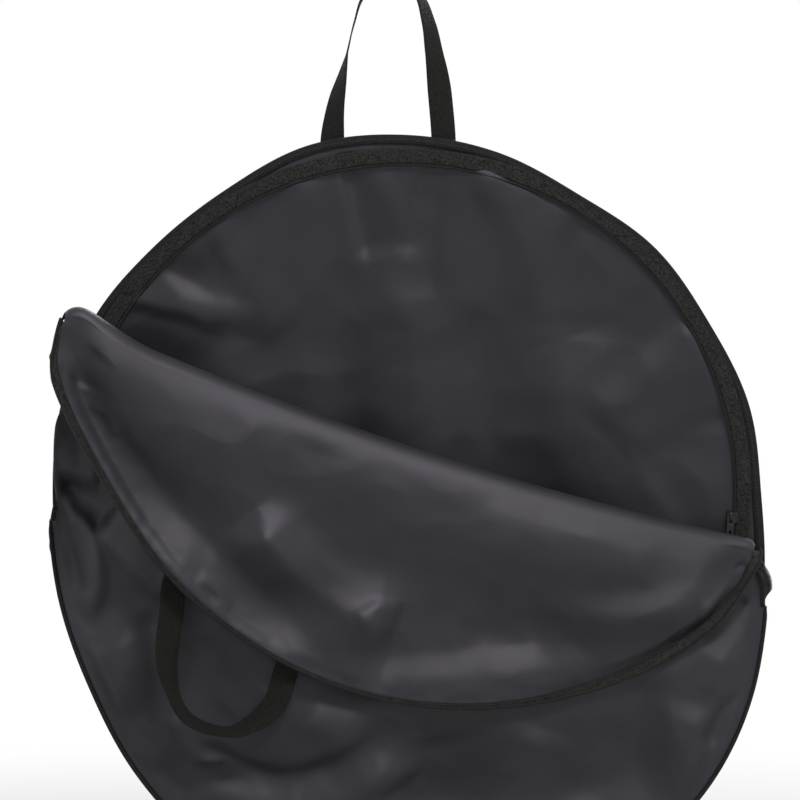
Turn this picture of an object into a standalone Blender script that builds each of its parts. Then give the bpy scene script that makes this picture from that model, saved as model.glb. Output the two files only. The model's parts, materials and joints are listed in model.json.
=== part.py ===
# Bike wheel bag, hung open from its back handle, with the front flap folded down.
# Metres, +Z up, the viewer on the -Y side. The origin is where a hand holds the back handle.

import math

import bmesh
import bpy
import numpy as np
from mathutils import Matrix, Vector

# The mouth and the outline, seen from the front, about the centre of the zip's arc
mouth_radius = 0.404
outline_step_deg = 15.0
outline_shares = (1.012, 1.008, 0.990, 0.996, 0.984, 1.006, 1.020, 1.026,
                  1.000, 0.996, 1.008, 1.002, 0.994, 1.002, 1.012, 1.054,
                  1.098, 1.140, 1.172, 1.180, 1.172, 1.165, 1.120, 1.058)

# Depth of the bag: the gap between the back panel's rim and the front panel's edge
bag_depth = 0.096
depth_stations_deg = (-212.0, -202.0, -190.0, -176.5, -150.0, -120.0, -90.0, -60.0, -35.0, -16.5, -8.0)
depth_shares = (1.00, 0.90, 0.58, 0.24, 0.66, 0.94, 1.00, 0.92, 0.60, 0.24, 0.34)
front_left_deg = -202.0
front_right_deg = -10.5
back_belly = 0.018
back_belly_power = 2.5
front_belly = 0.022
front_belly_power = 1.5
gusset_bulge = 0.004
bag_lean_deg = 6.3

# Cloth, binding and seams
cloth_thickness = 0.0012
binding_thickness = 0.0010
binding_leg = 0.0100
piping_radius = 0.0022
seam_gap = 0.0003
sewing_gap = 0.0004
flat_rim = 0.0140
flat_seam = 0.0050

# The fold across the front panel and the flap that hangs from it
fold_turn_deg = 71.3
fold_distance = 0.076
fold_end_inset = 0.0037871
fold_half_length = math.sqrt(mouth_radius ** 2 - fold_distance ** 2) - fold_end_inset
fold_left_share = 1.0
fold_right_share = 0.375
fold_left_depth = bag_depth * fold_left_share
fold_right_depth = bag_depth * fold_right_share
roll_radius = 0.0100
roll_end_deg = 168.0
roll_last_deg = 28.0
flap_start_deg = 175.0
flap_overhang = 0.0190
flap_half_width = fold_half_length + flap_overhang
flap_drop_inset = 0.0330
flap_drop = mouth_radius - fold_distance - flap_drop_inset
flap_flare_share = 0.396
flap_flare = bag_depth * flap_flare_share
flap_flare_power = 1.3
flap_edge_power = 1.26
flap_end_deg = 80.0
flap_top_share = 0.990

# The zip
zip_start_deg = -16.5
zip_finish_deg = 183.4
tape_width = 0.0150
tape_thickness = 0.0010
tape_lap = 0.0070
coil_radius = 0.0015
coil_inset = 0.0260
coil_circle = mouth_radius - coil_inset
coil_end_clear_deg = 1.2
stop_length = 0.0040
stop_width = 0.0030
standing_clear_deg = 1.0

# The slider and its pull
slider_rest_deg = -3.5
slider_length = 0.0120
slider_width = 0.0125
slider_wall = 0.0011
slider_clearance = 0.0003
slider_ring_shares = (-0.5, -0.42, 0.25, 0.5)
wedge_length = 0.0035
wedge_width = 0.0015
bridge_width = 0.0026
bridge_thickness = 0.0010
bridge_rise = 0.0029
bridge_foot_share = 0.42
bridge_flat_share = 0.30
bridge_shoulder_share = 0.55
pin_radius = 0.0007
pin_fit_share = 0.98
pull_length = 0.0300
pull_width = 0.0080
pull_shoulder_share = 0.80
pull_tip_share = 0.62
pull_eye_width = 0.0040
pull_eye_length = 0.0062
pull_hole_length = 0.0100
pull_hole_share = 0.35

# Webbing handles
webbing_width = 0.0250
webbing_thickness = 0.0016
sewn_length = 0.0450
root_lap = 0.0060
back_handle_left_x = -0.081
back_handle_right_x = 0.045
back_handle_rise = 0.198
back_loop_shares = ((0.0, 0.0), (0.0, 0.10), (0.07, 0.45), (0.19, 0.83), (0.50, 1.0),
                    (0.875, 0.83), (0.96, 0.45), (1.0, 0.10), (1.0, 0.0))
back_twist_shares = (0.0, 0.08, 0.40, 0.50, 0.62, 0.72, 0.92, 1.0)
back_twists_deg = (0.0, 0.0, 80.0, 90.0, 60.0, 18.0, 0.0, 0.0)
front_handle_left_t = -0.212
front_handle_right_t = -0.062
front_root_inset = 0.0220
front_loop_shares = ((0.0, 0.0), (0.0, -0.05), (0.0, -0.10), (0.13, -0.36), (0.37, -0.72), (0.66, -0.89),
                     (0.97, -0.78), (1.09, -0.46), (1.0, -0.12), (1.0, -0.06), (1.0, 0.0))
front_twist_shares = (0.0, 0.10, 0.25, 0.42, 0.62, 0.78, 0.92, 1.0)
front_twists_deg = (0.0, 0.0, 10.0, 62.0, 78.0, 30.0, 0.0, 0.0)
webbing_end_turns_deg = (80.0, 50.0, 25.0)

# Rows of the cloth surfaces, as shares of the way out or down
back_row_shares = (0.30, 0.55, 0.75, 0.88)
front_row_shares = (0.0, 0.08, 0.22, 0.40, 0.60, 0.80, 1.0)
flap_row_shares = (0.0, 0.12, 0.30, 0.50, 0.70, 0.86, 1.0)
flat_limit_share = 0.5
edge_nudge_share = 0.0025

# Counts
zip_columns = 44
gusset_columns = 36
standing_columns = 6
flap_columns = 40
handle_rings = 44
roll_rows = 5
side_rows = 4
coil_sides = 8
pin_sides = 12

outline_turn = range(-2, len(outline_shares) + 3)
outline_angles_deg = np.array(outline_turn) * outline_step_deg
outline_wrap_shares = np.array([outline_shares[i % len(outline_shares)] for i in outline_turn])
half_cloth = cloth_thickness / 2
edge_inset = seam_gap + cloth_thickness
binding_inner = half_cloth + sewing_gap
binding_outer = binding_inner + binding_thickness
tape_level = binding_outer + seam_gap + tape_thickness / 2
coil_level = tape_level + coil_radius - tape_thickness / 2
flap_radius = roll_radius + cloth_thickness + seam_gap
root_radius = webbing_thickness / 2
sewn_level = half_cloth + sewing_gap + webbing_thickness / 2
root_level = sewn_level + webbing_thickness + seam_gap
butt_gap_deg = math.degrees(seam_gap / mouth_radius)


# Curves

def smooth_at(at, stations, values):
    # A cubic through the stations, its slope at each from the stations beside it.
    slopes = np.gradient(values, stations)
    i = int(np.clip(np.searchsorted(stations, at) - 1, 0, len(stations) - 2))
    span = stations[i + 1] - stations[i]
    s = (at - stations[i]) / span
    return ((1 + 2 * s) * (1 - s) ** 2 * values[i] + s * (1 - s) ** 2 * span * slopes[i]
            + s * s * (3 - 2 * s) * values[i + 1] + s * s * (s - 1) * span * slopes[i + 1])


def rim_radius(angle_deg):
    return mouth_radius * smooth_at(angle_deg % 360.0, outline_angles_deg, outline_wrap_shares)


def rim_point(angle_deg, y, inset):
    turn, reach = math.radians(angle_deg), rim_radius(angle_deg) - inset
    return Vector((reach * math.cos(turn), y, reach * math.sin(turn)))


def front_edge_y(angle_deg):
    return -bag_depth * smooth_at(angle_deg, np.array(depth_stations_deg), np.array(depth_shares))


def steps(start, finish, count):
    return [start + (finish - start) * i / count for i in range(count + 1)]


def ease(share):
    return share * share * (3 - 2 * share)


def smooth_path(points, count):
    # Evenly stepped points on the smooth curve through the given ones.
    points = np.array([tuple(p) for p in points])
    spans = np.linalg.norm(np.diff(points, axis=0), axis=1)
    stations = np.concatenate([[0.0], np.cumsum(spans)])
    marks = [s * stations[-1] for s in steps(0.0, 1.0, count)]
    return [Vector([smooth_at(m, stations, points[:, k]) for k in range(3)]) for m in marks]


# The fold's own frame: x along the fold, y up across it in the panel, z towards the viewer

def fold_frame():
    turn = math.radians(fold_turn_deg)
    across = Vector((math.cos(turn), 0.0, math.sin(turn)))
    along = Vector((math.sin(turn), 0.0, -math.cos(turn)))
    left = -fold_half_length * along + Vector((0.0, -fold_left_depth - roll_radius, 0.0))
    right = fold_half_length * along + Vector((0.0, -fold_right_depth - roll_radius, 0.0))
    along = (right - left).normalized()
    towards = along.cross(across)
    centre = (left + right) / 2 + across * fold_distance
    matrix = Matrix((along, across, towards)).transposed().to_4x4()
    matrix.translation = centre
    return matrix


fold = fold_frame()


def roll_point(t, beta_deg, radius):
    beta = math.radians(beta_deg)
    return Vector((t, radius * math.sin(beta), -radius * math.cos(beta)))


# The three large cloth surfaces

def back_surface(angle_deg, reach):
    # reach is the distance from the centre as a share of the panel's own edge.
    edge = rim_radius(angle_deg) - edge_inset
    flat = 1 - flat_rim / edge
    swell = max(0.0, 1 - (reach / flat) ** back_belly_power)
    turn = math.radians(angle_deg)
    return Vector((reach * edge * math.cos(turn), back_belly * swell, reach * edge * math.sin(turn)))


def front_share(angle_deg):
    return (angle_deg - front_left_deg) / (front_right_deg - front_left_deg)


def front_column(u):
    # The top of a column, on the fold, its foot on the edge, and the share of it that lies flat there.
    angle = front_left_deg + (front_right_deg - front_left_deg) * u
    top = fold @ roll_point((2 * u - 1) * fold_half_length, 0.0, roll_radius)
    low = rim_point(angle, front_edge_y(angle), edge_inset)
    return top, low, min(flat_limit_share, flat_rim / (top - low).length)


def front_surface(u, v):
    # u runs from the left end of the fold to the right, v from the fold down to the edge.
    top, low, flat = front_column(u)
    point = top.lerp(low, v)
    inner = min(1.0, v / (1 - flat))
    swell = front_belly * math.sin(math.pi * u) * math.sin(math.pi * inner) ** front_belly_power
    point.y = top.y + (low.y - top.y) * ease(inner) - swell
    return point


def flap_flare_at(n):
    return flap_radius + flap_flare * (abs(n) / flap_drop) ** flap_flare_power


def flap_edge(u, inset):
    phi = math.radians(flap_end_deg) * (2 * u - 1)
    return ((flap_half_width - inset) * math.sin(phi),
            -(flap_drop - inset) * math.cos(phi) ** flap_edge_power)


def flap_surface(u, v):
    # In the fold's frame; v runs from the fold to the cloth's edge inside the zip tape.
    t, n = flap_edge(u, tape_width - tape_lap + 2 * coil_radius)
    top = (2 * u - 1) * fold_half_length * flap_top_share
    n = n * v
    return Vector((top + (t - top) * v, n, flap_flare_at(n)))


# Stations along the edges, shared by the pieces that meet there

zip_angles = steps(zip_start_deg, zip_finish_deg, zip_columns)
low_angles = steps(zip_finish_deg - 360.0, zip_start_deg, gusset_columns)
left_angles = steps(front_left_deg, low_angles[0] - standing_clear_deg, standing_columns)
right_angles = steps(low_angles[-1] + standing_clear_deg, front_right_deg, 2)
front_shares = [front_share(a) for a in left_angles + low_angles + right_angles]
flap_shares = steps(0.0, 1.0, flap_columns)


# Building blocks

scene = bpy.context.scene
materials = {}


def material(name, colour, roughness, metallic=0.0):
    made = bpy.data.materials.new(name)
    made.use_nodes = True
    shader = made.node_tree.nodes["Principled BSDF"]
    shader.inputs["Base Color"].default_value = (*colour, 1.0)
    shader.inputs["Roughness"].default_value = roughness
    shader.inputs["Metallic"].default_value = metallic
    materials[name] = made


def pivot(name, matrix, parent=None):
    empty = bpy.data.objects.new(name, None)
    scene.collection.objects.link(empty)
    empty.parent = parent
    empty.matrix_local = matrix
    return empty


def finish(name, mesh, finish_name, parent, angle_deg=40.0):
    mesh.shade_smooth()
    mesh.set_sharp_from_angle(angle=math.radians(angle_deg))
    piece = bpy.data.objects.new(name, mesh)
    mesh.materials.append(materials[finish_name])
    scene.collection.objects.link(piece)
    piece.parent = parent
    return piece


def to_mesh(name, bm):
    bmesh.ops.recalc_face_normals(bm, faces=bm.faces)
    mesh = bpy.data.meshes.new(name)
    bm.to_mesh(mesh)
    bm.free()
    return mesh


def sheet(name, rows, finish_name, parent, closed=False, pole=None):
    # A cloth surface from rows of points, given its thickness by a modifier.
    bm = bmesh.new()
    grid = [[bm.verts.new(p) for p in row] for row in rows]
    last = len(grid[0]) if closed else len(grid[0]) - 1
    for upper, lower in zip(grid, grid[1:]):
        for i in range(last):
            j = (i + 1) % len(upper)
            bm.faces.new((upper[i], upper[j], lower[j], lower[i]))
    if pole is not None:
        centre = bm.verts.new(pole)
        for i in range(last):
            bm.faces.new((grid[0][(i + 1) % len(grid[0])], grid[0][i], centre))
    piece = finish(name, to_mesh(name, bm), finish_name, parent)
    solid = piece.modifiers.new("cloth", "SOLIDIFY")
    solid.thickness = cloth_thickness
    solid.offset = 0.0
    return piece


def loft(name, rings, finish_name, parent, angle_deg=40.0):
    # A closed solid through rings of points, capped at both ends.
    bm = bmesh.new()
    loops = [[bm.verts.new(p) for p in ring] for ring in rings]
    for near, far in zip(loops, loops[1:]):
        for i in range(len(near)):
            j = (i + 1) % len(near)
            bm.faces.new((near[i], near[j], far[j], far[i]))
    bm.faces.new(loops[0])
    bm.faces.new(loops[-1])
    return finish(name, to_mesh(name, bm), finish_name, parent, angle_deg)


def edge_frames(surface, shares):
    # (point, outward, inner-face normal) along a surface's v = 1 edge, outward in line with its columns
    frames = []
    for u in shares:
        before = surface(max(u - edge_nudge_share, 0.0), 1.0)
        after = surface(min(u + edge_nudge_share, 1.0), 1.0)
        outward = (surface(u, 1.0) - surface(u, 1.0 - 3 * edge_nudge_share)).normalized()
        frames.append((surface(u, 1.0), outward, (after - before).cross(outward).normalized()))
    return frames


def rim_frames(angles):
    # The same along the mouth of the back panel, whose rim lies in one plane.
    frames = []
    for angle in angles:
        turn = math.radians(angle)
        outward = Vector((math.cos(turn), 0.0, math.sin(turn)))
        frames.append((rim_point(angle, 0.0, edge_inset), outward, Vector((0.0, -1.0, 0.0))))
    return frames


def along(frames, section):
    return [[p + outward * o + normal * h for o, h in section] for p, outward, normal in frames]


def binding_section():
    reach = seam_gap + binding_thickness
    return ((-binding_leg, -binding_outer), (reach, -binding_outer), (reach, binding_outer),
            (-binding_leg, binding_outer), (-binding_leg, binding_inner), (seam_gap, binding_inner),
            (seam_gap, -binding_inner), (-binding_leg, -binding_inner))


def tape_section(inner, outer):
    low, high = tape_level - tape_thickness / 2, tape_level + tape_thickness / 2
    return ((inner, low), (outer, low), (outer, high), (inner, high))


def coil_section(centre):
    turns = [2 * math.pi * i / coil_sides for i in range(coil_sides)]
    return [(centre + coil_radius * math.cos(a), coil_level + coil_radius * math.sin(a)) for a in turns]


def tube(name, points, radius, finish_name, parent):
    # Piping cord, as a bevelled curve with filled ends.
    curve = bpy.data.curves.new(name, "CURVE")
    curve.dimensions = "3D"
    curve.bevel_depth = radius
    curve.bevel_resolution = 1
    curve.use_fill_caps = True
    spline = curve.splines.new("POLY")
    spline.points.add(len(points) - 1)
    for slot, p in zip(spline.points, points):
        slot.co = (*p, 1.0)
    curve.materials.append(materials[finish_name])
    piece = bpy.data.objects.new(name, curve)
    scene.collection.objects.link(piece)
    piece.parent = parent
    return piece


def box_points(centre, length_way, width_way, length, width, thickness):
    # Eight corners of a flat strip, as two rings across its length.
    up = length_way.cross(width_way).normalized()
    rings = []
    for end in (-1, 1):
        middle = centre + length_way * (end * length / 2)
        rings.append([middle + width_way * (a * width / 2) + up * (b * thickness / 2)
                      for a, b in ((-1, -1), (1, -1), (1, 1), (-1, 1))])
    return rings


def webbing(name, path, twists_deg, side, finish_name, parent):
    # A flat strap along a path. Its width lies in the loop's plane and turns towards
    # `side` by the twist. Each end is rounded about the axis that it swings on.
    path = list(path)
    ways = [(b - a).normalized() for a, b in zip(path, path[1:])]
    tangents = [ways[0]] + [(a + b).normalized() for a, b in zip(ways, ways[1:])] + [ways[-1]]
    rings = []

    def ring(point, tangent, twist_deg, half_thickness):
        flat = tangent.cross(side).normalized()
        turn = math.radians(twist_deg)
        wide = flat * math.cos(turn) + side * math.sin(turn)
        thick = tangent.cross(wide).normalized()
        return [point + wide * (a * webbing_width / 2) + thick * (b * half_thickness)
                for a, b in ((-1, -1), (1, -1), (1, 1), (-1, 1))]

    round_turns = [math.radians(a) for a in webbing_end_turns_deg]
    for turn in round_turns:
        back = path[0] - tangents[0] * (root_radius * math.sin(turn))
        rings.append(ring(back, tangents[0], 0.0, root_radius * math.cos(turn)))
    for point, tangent, twist in zip(path, tangents, twists_deg):
        rings.append(ring(point, tangent, twist, root_radius))
    for turn in reversed(round_turns):
        beyond = path[-1] + tangents[-1] * (root_radius * math.sin(turn))
        rings.append(ring(beyond, tangents[-1], 0.0, root_radius * math.cos(turn)))
    return loft(name, rings, finish_name, parent)


# The bag's body

def build_back(parent):
    angles = zip_angles[:-1] + low_angles[:-1]
    reaches = back_row_shares + (1 - flat_rim / mouth_radius, 1.0)
    rows = [[back_surface(a, reach) for a in angles] for reach in reaches]
    sheet("back_panel", rows, "cloth", parent, closed=True, pole=back_surface(0.0, 0.0))

    frames = rim_frames(zip_angles)
    loft("back_binding", along(frames, binding_section()), "binding", parent)

    tape_rings = []
    for angle, (p, outward, normal) in zip(zip_angles, frames):
        inner = coil_circle + coil_radius + seam_gap - (rim_radius(angle) - edge_inset)
        outer = -binding_leg + tape_lap
        tape_rings.append([p + outward * o + normal * h for o, h in tape_section(inner, outer)])
    loft("back_zip_tape", tape_rings, "zip_tape", parent)

    coil_angles = steps(zip_start_deg + coil_end_clear_deg, zip_finish_deg - coil_end_clear_deg,
                        zip_columns)
    rings = [[circle_point(a, coil_circle + o, -h) for o, h in coil_section(0.0)] for a in coil_angles]
    loft("back_zip_coil", rings, "zip_coil", parent)
    for name, angle, way in (("zip_bottom_stop", coil_angles[0], -1), ("zip_top_stop", coil_angles[-1], 1)):
        middle = angle + way * math.degrees((stop_length / 2 + seam_gap) / coil_circle)
        centre = circle_point(middle, coil_circle - coil_radius, -coil_level)
        tangent = circle_tangent(middle)
        radial = tangent.cross(Vector((0.0, 1.0, 0.0)))
        loft(name, box_points(centre, tangent, radial, stop_length, stop_width,
                              2 * coil_radius), "zip_metal", parent)


def circle_point(angle_deg, reach, y):
    turn = math.radians(angle_deg)
    return Vector((reach * math.cos(turn), y, reach * math.sin(turn)))


def circle_tangent(angle_deg):
    turn = math.radians(angle_deg)
    return Vector((-math.sin(turn), 0.0, math.cos(turn)))


def build_front(parent):
    rows = []
    for beta in steps(roll_end_deg, roll_last_deg, roll_rows):
        rows.append([fold @ roll_point((2 * u - 1) * fold_half_length, beta, roll_radius)
                     for u in front_shares])
    for v in front_row_shares:
        rows.append([front_surface(u, v * (1 - front_column(u)[2])) for u in front_shares])
    rows.append([front_surface(u, 1.0) for u in front_shares])
    sheet("front_panel", rows, "cloth", parent)

    for side, angles in (("left", left_angles[1:]), ("right", right_angles[:2])):
        frames = [(p, outward, normal if normal.y > 0 else -normal)
                  for p, outward, normal in edge_frames(front_surface, [front_share(a) for a in angles])]
        loft("front_binding_" + side, along(frames, binding_section()), "binding", parent)
        inner = -binding_leg - tape_width + 2 * tape_lap
        outer = -binding_leg + tape_lap
        loft("front_zip_tape_" + side, along(frames, tape_section(inner, outer)), "zip_tape", parent)
        bead = coil_section(inner - seam_gap - coil_radius)
        loft("front_zip_coil_" + side, along(frames, bead), "zip_coil", parent)


def build_gusset(parent):
    angles = [low_angles[0] + butt_gap_deg] + low_angles[1:-1] + [low_angles[-1] - butt_gap_deg]
    # Its two edges lie flat under the seams, and it bulges between them.
    spread = [0.0] + steps(0.0, 1.0, side_rows - 1) + [1.0]
    rows = []
    for row_number, place in enumerate(spread):
        row = []
        for angle in angles:
            depth = -front_edge_y(angle) + cloth_thickness
            seam = 0.0 if row_number in (0, len(spread) - 1) else flat_seam
            y = half_cloth - seam - (depth - 2 * seam) * place
            row.append(rim_point(angle, y, half_cloth - gusset_bulge * math.sin(math.pi * place)))
        rows.append(row)
    sheet("gusset", rows, "cloth", parent)
    reach = piping_radius + seam_gap
    tube("back_piping", [rim_point(a, 0.0, -reach) for a in angles], piping_radius, "piping", parent)
    tube("front_piping", [rim_point(a, front_edge_y(a), -reach) for a in angles],
         piping_radius, "piping", parent)


# The flap's body, in the fold's frame

def build_flap(parent):
    rows = [[roll_point((2 * u - 1) * fold_half_length * flap_top_share, flap_start_deg, flap_radius)
             for u in flap_shares]]
    for v in flap_row_shares:
        rows.append([flap_surface(u, v) for u in flap_shares])
    sheet("flap_panel", rows, "cloth", parent)

    frames = [(p, outward, normal if normal.z > 0 else -normal)
              for p, outward, normal in edge_frames(flap_surface, flap_shares[1:-1])]
    loft("flap_binding", along(frames, binding_section()), "binding", parent)
    inner, outer = -tape_lap, tape_width - tape_lap
    loft("flap_zip_tape", along(frames, tape_section(inner, outer)), "zip_tape", parent)
    loft("flap_zip_coil", along(frames, coil_section(outer + seam_gap + coil_radius)), "zip_coil", parent)


def front_handle_frame():
    # x along the line that the front handle swings on, y towards the fold, z to the viewer.
    roots = []
    for t in (front_handle_left_t, front_handle_right_t):
        reach = flap_half_width - tape_width
        n = -(flap_drop - tape_width) * (1 - (t / reach) ** 2) ** (flap_edge_power / 2) + front_root_inset
        roots.append(Vector((t, n, flap_flare_at(n))))
    across = (roots[1] - roots[0]).normalized()
    middle = (roots[0].y + roots[1].y) / 2
    rise = front_root_inset
    up = Vector((0.0, 2 * rise, flap_flare_at(middle + rise) - flap_flare_at(middle - rise)))
    normal = across.cross(up).normalized()
    up = normal.cross(across)
    matrix = Matrix((across, up, normal)).transposed().to_4x4()
    matrix.translation = roots[0] - normal * root_level
    return matrix, (roots[1] - roots[0]).length


def loop(shares, width, rise, twist_shares, twists_deg):
    # The strap's middle line in its own plane, and its twist at each ring.
    points = [Vector((width * a, 0.0, rise * b)) for a, b in shares]
    twists = [float(np.interp(s, twist_shares, twists_deg)) for s in steps(0.0, 1.0, handle_rings)]
    return smooth_path(points, handle_rings), twists


def build_front_handle(frame, spacing, flap_parent, parent):
    path, twists = loop(front_loop_shares, spacing, spacing, front_twist_shares, front_twists_deg)
    path = [Vector((p.x, p.z, 0.0)) for p in path]
    webbing("front_handle", path, twists, Vector((0.0, 0.0, 1.0)), "webbing", parent)
    across, up = frame.col[0].to_3d(), frame.col[1].to_3d()
    for side, x in (("left", 0.0), ("right", spacing)):
        centre = frame @ Vector((x, sewn_length / 2 - root_lap, root_level - sewn_level))
        rings = box_points(centre, up, across, sewn_length, webbing_width, webbing_thickness)
        loft("front_handle_sewn_end_" + side, rings, "webbing", flap_parent)


def back_root():
    # The height of the back handle's axis: its sewn ends lie just below the binding.
    corners = (back_handle_left_x - webbing_width / 2, back_handle_right_x + webbing_width / 2)
    angles = [90.0 - math.degrees(math.asin(x / mouth_radius)) for x in corners]
    rim = min(rim_radius(a) * math.sin(math.radians(a)) for a in angles)
    return rim - edge_inset - binding_leg - root_lap - sewing_gap * 3


def back_outline_y(x, z):
    reach = math.hypot(x, z)
    angle = math.degrees(math.atan2(z, x))
    return back_surface(angle, reach / (rim_radius(angle) - edge_inset)).y


def build_back_handle(bag, handle_parent, root):
    width = back_handle_right_x - back_handle_left_x
    path, twists = loop(back_loop_shares, width, back_handle_rise, back_twist_shares, back_twists_deg)
    path = [p + Vector((back_handle_left_x - root.x, 0.0, 0.0)) for p in path]
    webbing("back_handle", path, twists, Vector((0.0, 1.0, 0.0)), "webbing", handle_parent)
    for side, x in (("left", back_handle_left_x), ("right", back_handle_right_x)):
        top, low = root.z + root_lap, root.z + root_lap - sewn_length
        upper = Vector((x, back_outline_y(x, top), top))
        lower = Vector((x, back_outline_y(x, low), low))
        way = (lower - upper).normalized()
        out = Vector((1.0, 0.0, 0.0)).cross(way)
        out = out if out.y > 0 else -out
        centre = upper.lerp(lower, 0.5) + out * (sewn_level + sewing_gap)
        rings = box_points(centre, way, Vector((1.0, 0.0, 0.0)), sewn_length, webbing_width,
                           webbing_thickness)
        loft("back_handle_sewn_end_" + side, rings, "webbing", bag)


# The slider, in a frame at its place: x outward, y away from the viewer, z along the zip

def build_slider(parent):
    outer_face = 2 * coil_radius + 2 * slider_clearance
    inner_face = outer_face - slider_width
    low = coil_level - coil_radius - slider_clearance
    high = coil_level + coil_radius + slider_clearance
    section = ((inner_face, low - slider_wall), (outer_face, low - slider_wall), (outer_face, low),
               (inner_face + slider_wall, low), (inner_face + slider_wall, high),
               (outer_face, high), (outer_face, high + slider_wall), (inner_face, high + slider_wall))
    rings = []
    for share in slider_ring_shares:
        trim = slider_clearance if abs(share) == 0.5 else 0.0
        near, far = inner_face + trim, outer_face - trim
        rings.append([Vector((min(max(x, near), far), -h, slider_length * share)) for x, h in section])
    body = loft("zip_slider", rings, "zip_metal", parent)

    centre_x = (inner_face + outer_face) / 2 - coil_radius
    wedge = box_points(Vector((inner_face + slider_wall + coil_radius, -(low + high) / 2,
                               slider_length / 2 - wedge_length / 2 - slider_clearance)),
                       Vector((0.0, 0.0, 1.0)), Vector((1.0, 0.0, 0.0)), wedge_length,
                       wedge_width, high - low + slider_wall)
    rise, root = high + slider_wall, high + slider_wall / 2
    foot = slider_length * bridge_foot_share
    flat = slider_length * bridge_flat_share
    shoulder = bridge_rise * bridge_shoulder_share
    arch = ((-foot, root), (-foot, rise + shoulder), (-flat, rise + bridge_rise),
            (flat, rise + bridge_rise), (foot, rise + shoulder), (foot, root),
            (foot - bridge_thickness, root), (foot - bridge_thickness, rise + shoulder),
            (flat, rise + bridge_rise - bridge_thickness),
            (-flat, rise + bridge_rise - bridge_thickness),
            (bridge_thickness - foot, rise + shoulder), (bridge_thickness - foot, root))
    crown = [[Vector((centre_x + side * bridge_width / 2, -level, z)) for z, level in arch]
             for side in (-1, 1)]
    extras = [loft("slider_wedge", wedge, "zip_metal", parent),
              loft("slider_crown", crown, "zip_metal", parent)]
    for extra in extras:
        extra.hide_render = True
        extra.display_type = "WIRE"
        join = body.modifiers.new(extra.name, "BOOLEAN")
        join.operation = "UNION"
        join.object = extra
    return centre_x


def pull_axis_level():
    return coil_level + coil_radius + slider_clearance + slider_wall + seam_gap + pin_radius


def build_pull(parent):
    # A flat tab below an eye whose round pin passes under the slider's bridge.
    bm = bmesh.new()
    half, arm = pull_width / 2, (pull_width - pull_eye_width) / 2
    shoulder, tip = -pull_length * pull_shoulder_share, half * pull_tip_share
    outline = ((-half, 0.0), (-half, shoulder), (-tip, -pull_length),
               (tip, -pull_length), (half, shoulder), (half, 0.0),
               (half - arm, 0.0), (half - arm, -pull_eye_length), (-half + arm, -pull_eye_length),
               (-half + arm, 0.0))
    verts = [bm.verts.new((x, -pin_radius, z)) for x, z in outline]
    face = bm.faces.new(verts)
    pulled = bmesh.ops.extrude_face_region(bm, geom=[face])
    moved = [v for v in pulled["geom"] if isinstance(v, bmesh.types.BMVert)]
    bmesh.ops.translate(bm, verts=moved, vec=(0.0, 2 * pin_radius, 0.0))
    tab = finish("zip_pull", to_mesh("zip_pull", bm), "zip_metal", parent)

    pin = bmesh.new()
    pin_fit = pin_radius * pin_fit_share
    bmesh.ops.create_cone(pin, cap_ends=True, segments=pin_sides, radius1=pin_fit, radius2=pin_fit,
                          depth=pull_width - arm, matrix=Matrix.Rotation(math.pi / 2, 4, "Y"))
    bar = finish("pull_pin", to_mesh("pull_pin", pin), "zip_metal", parent)
    slot = bmesh.new()
    bmesh.ops.create_cube(slot, size=1.0, matrix=Matrix.LocRotScale(
        Vector((0.0, 0.0, -pull_length + pull_hole_length)), None,
        Vector((pull_width * pull_hole_share, pull_width, pull_hole_length))))
    cut = finish("pull_slot", to_mesh("pull_slot", slot), "zip_metal", parent)
    for tool, operation in ((bar, "UNION"), (cut, "DIFFERENCE")):
        tool.hide_render = True
        tool.display_type = "WIRE"
        step = tab.modifiers.new(tool.name, "BOOLEAN")
        step.operation = operation
        step.object = tool
    return tab


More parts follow.
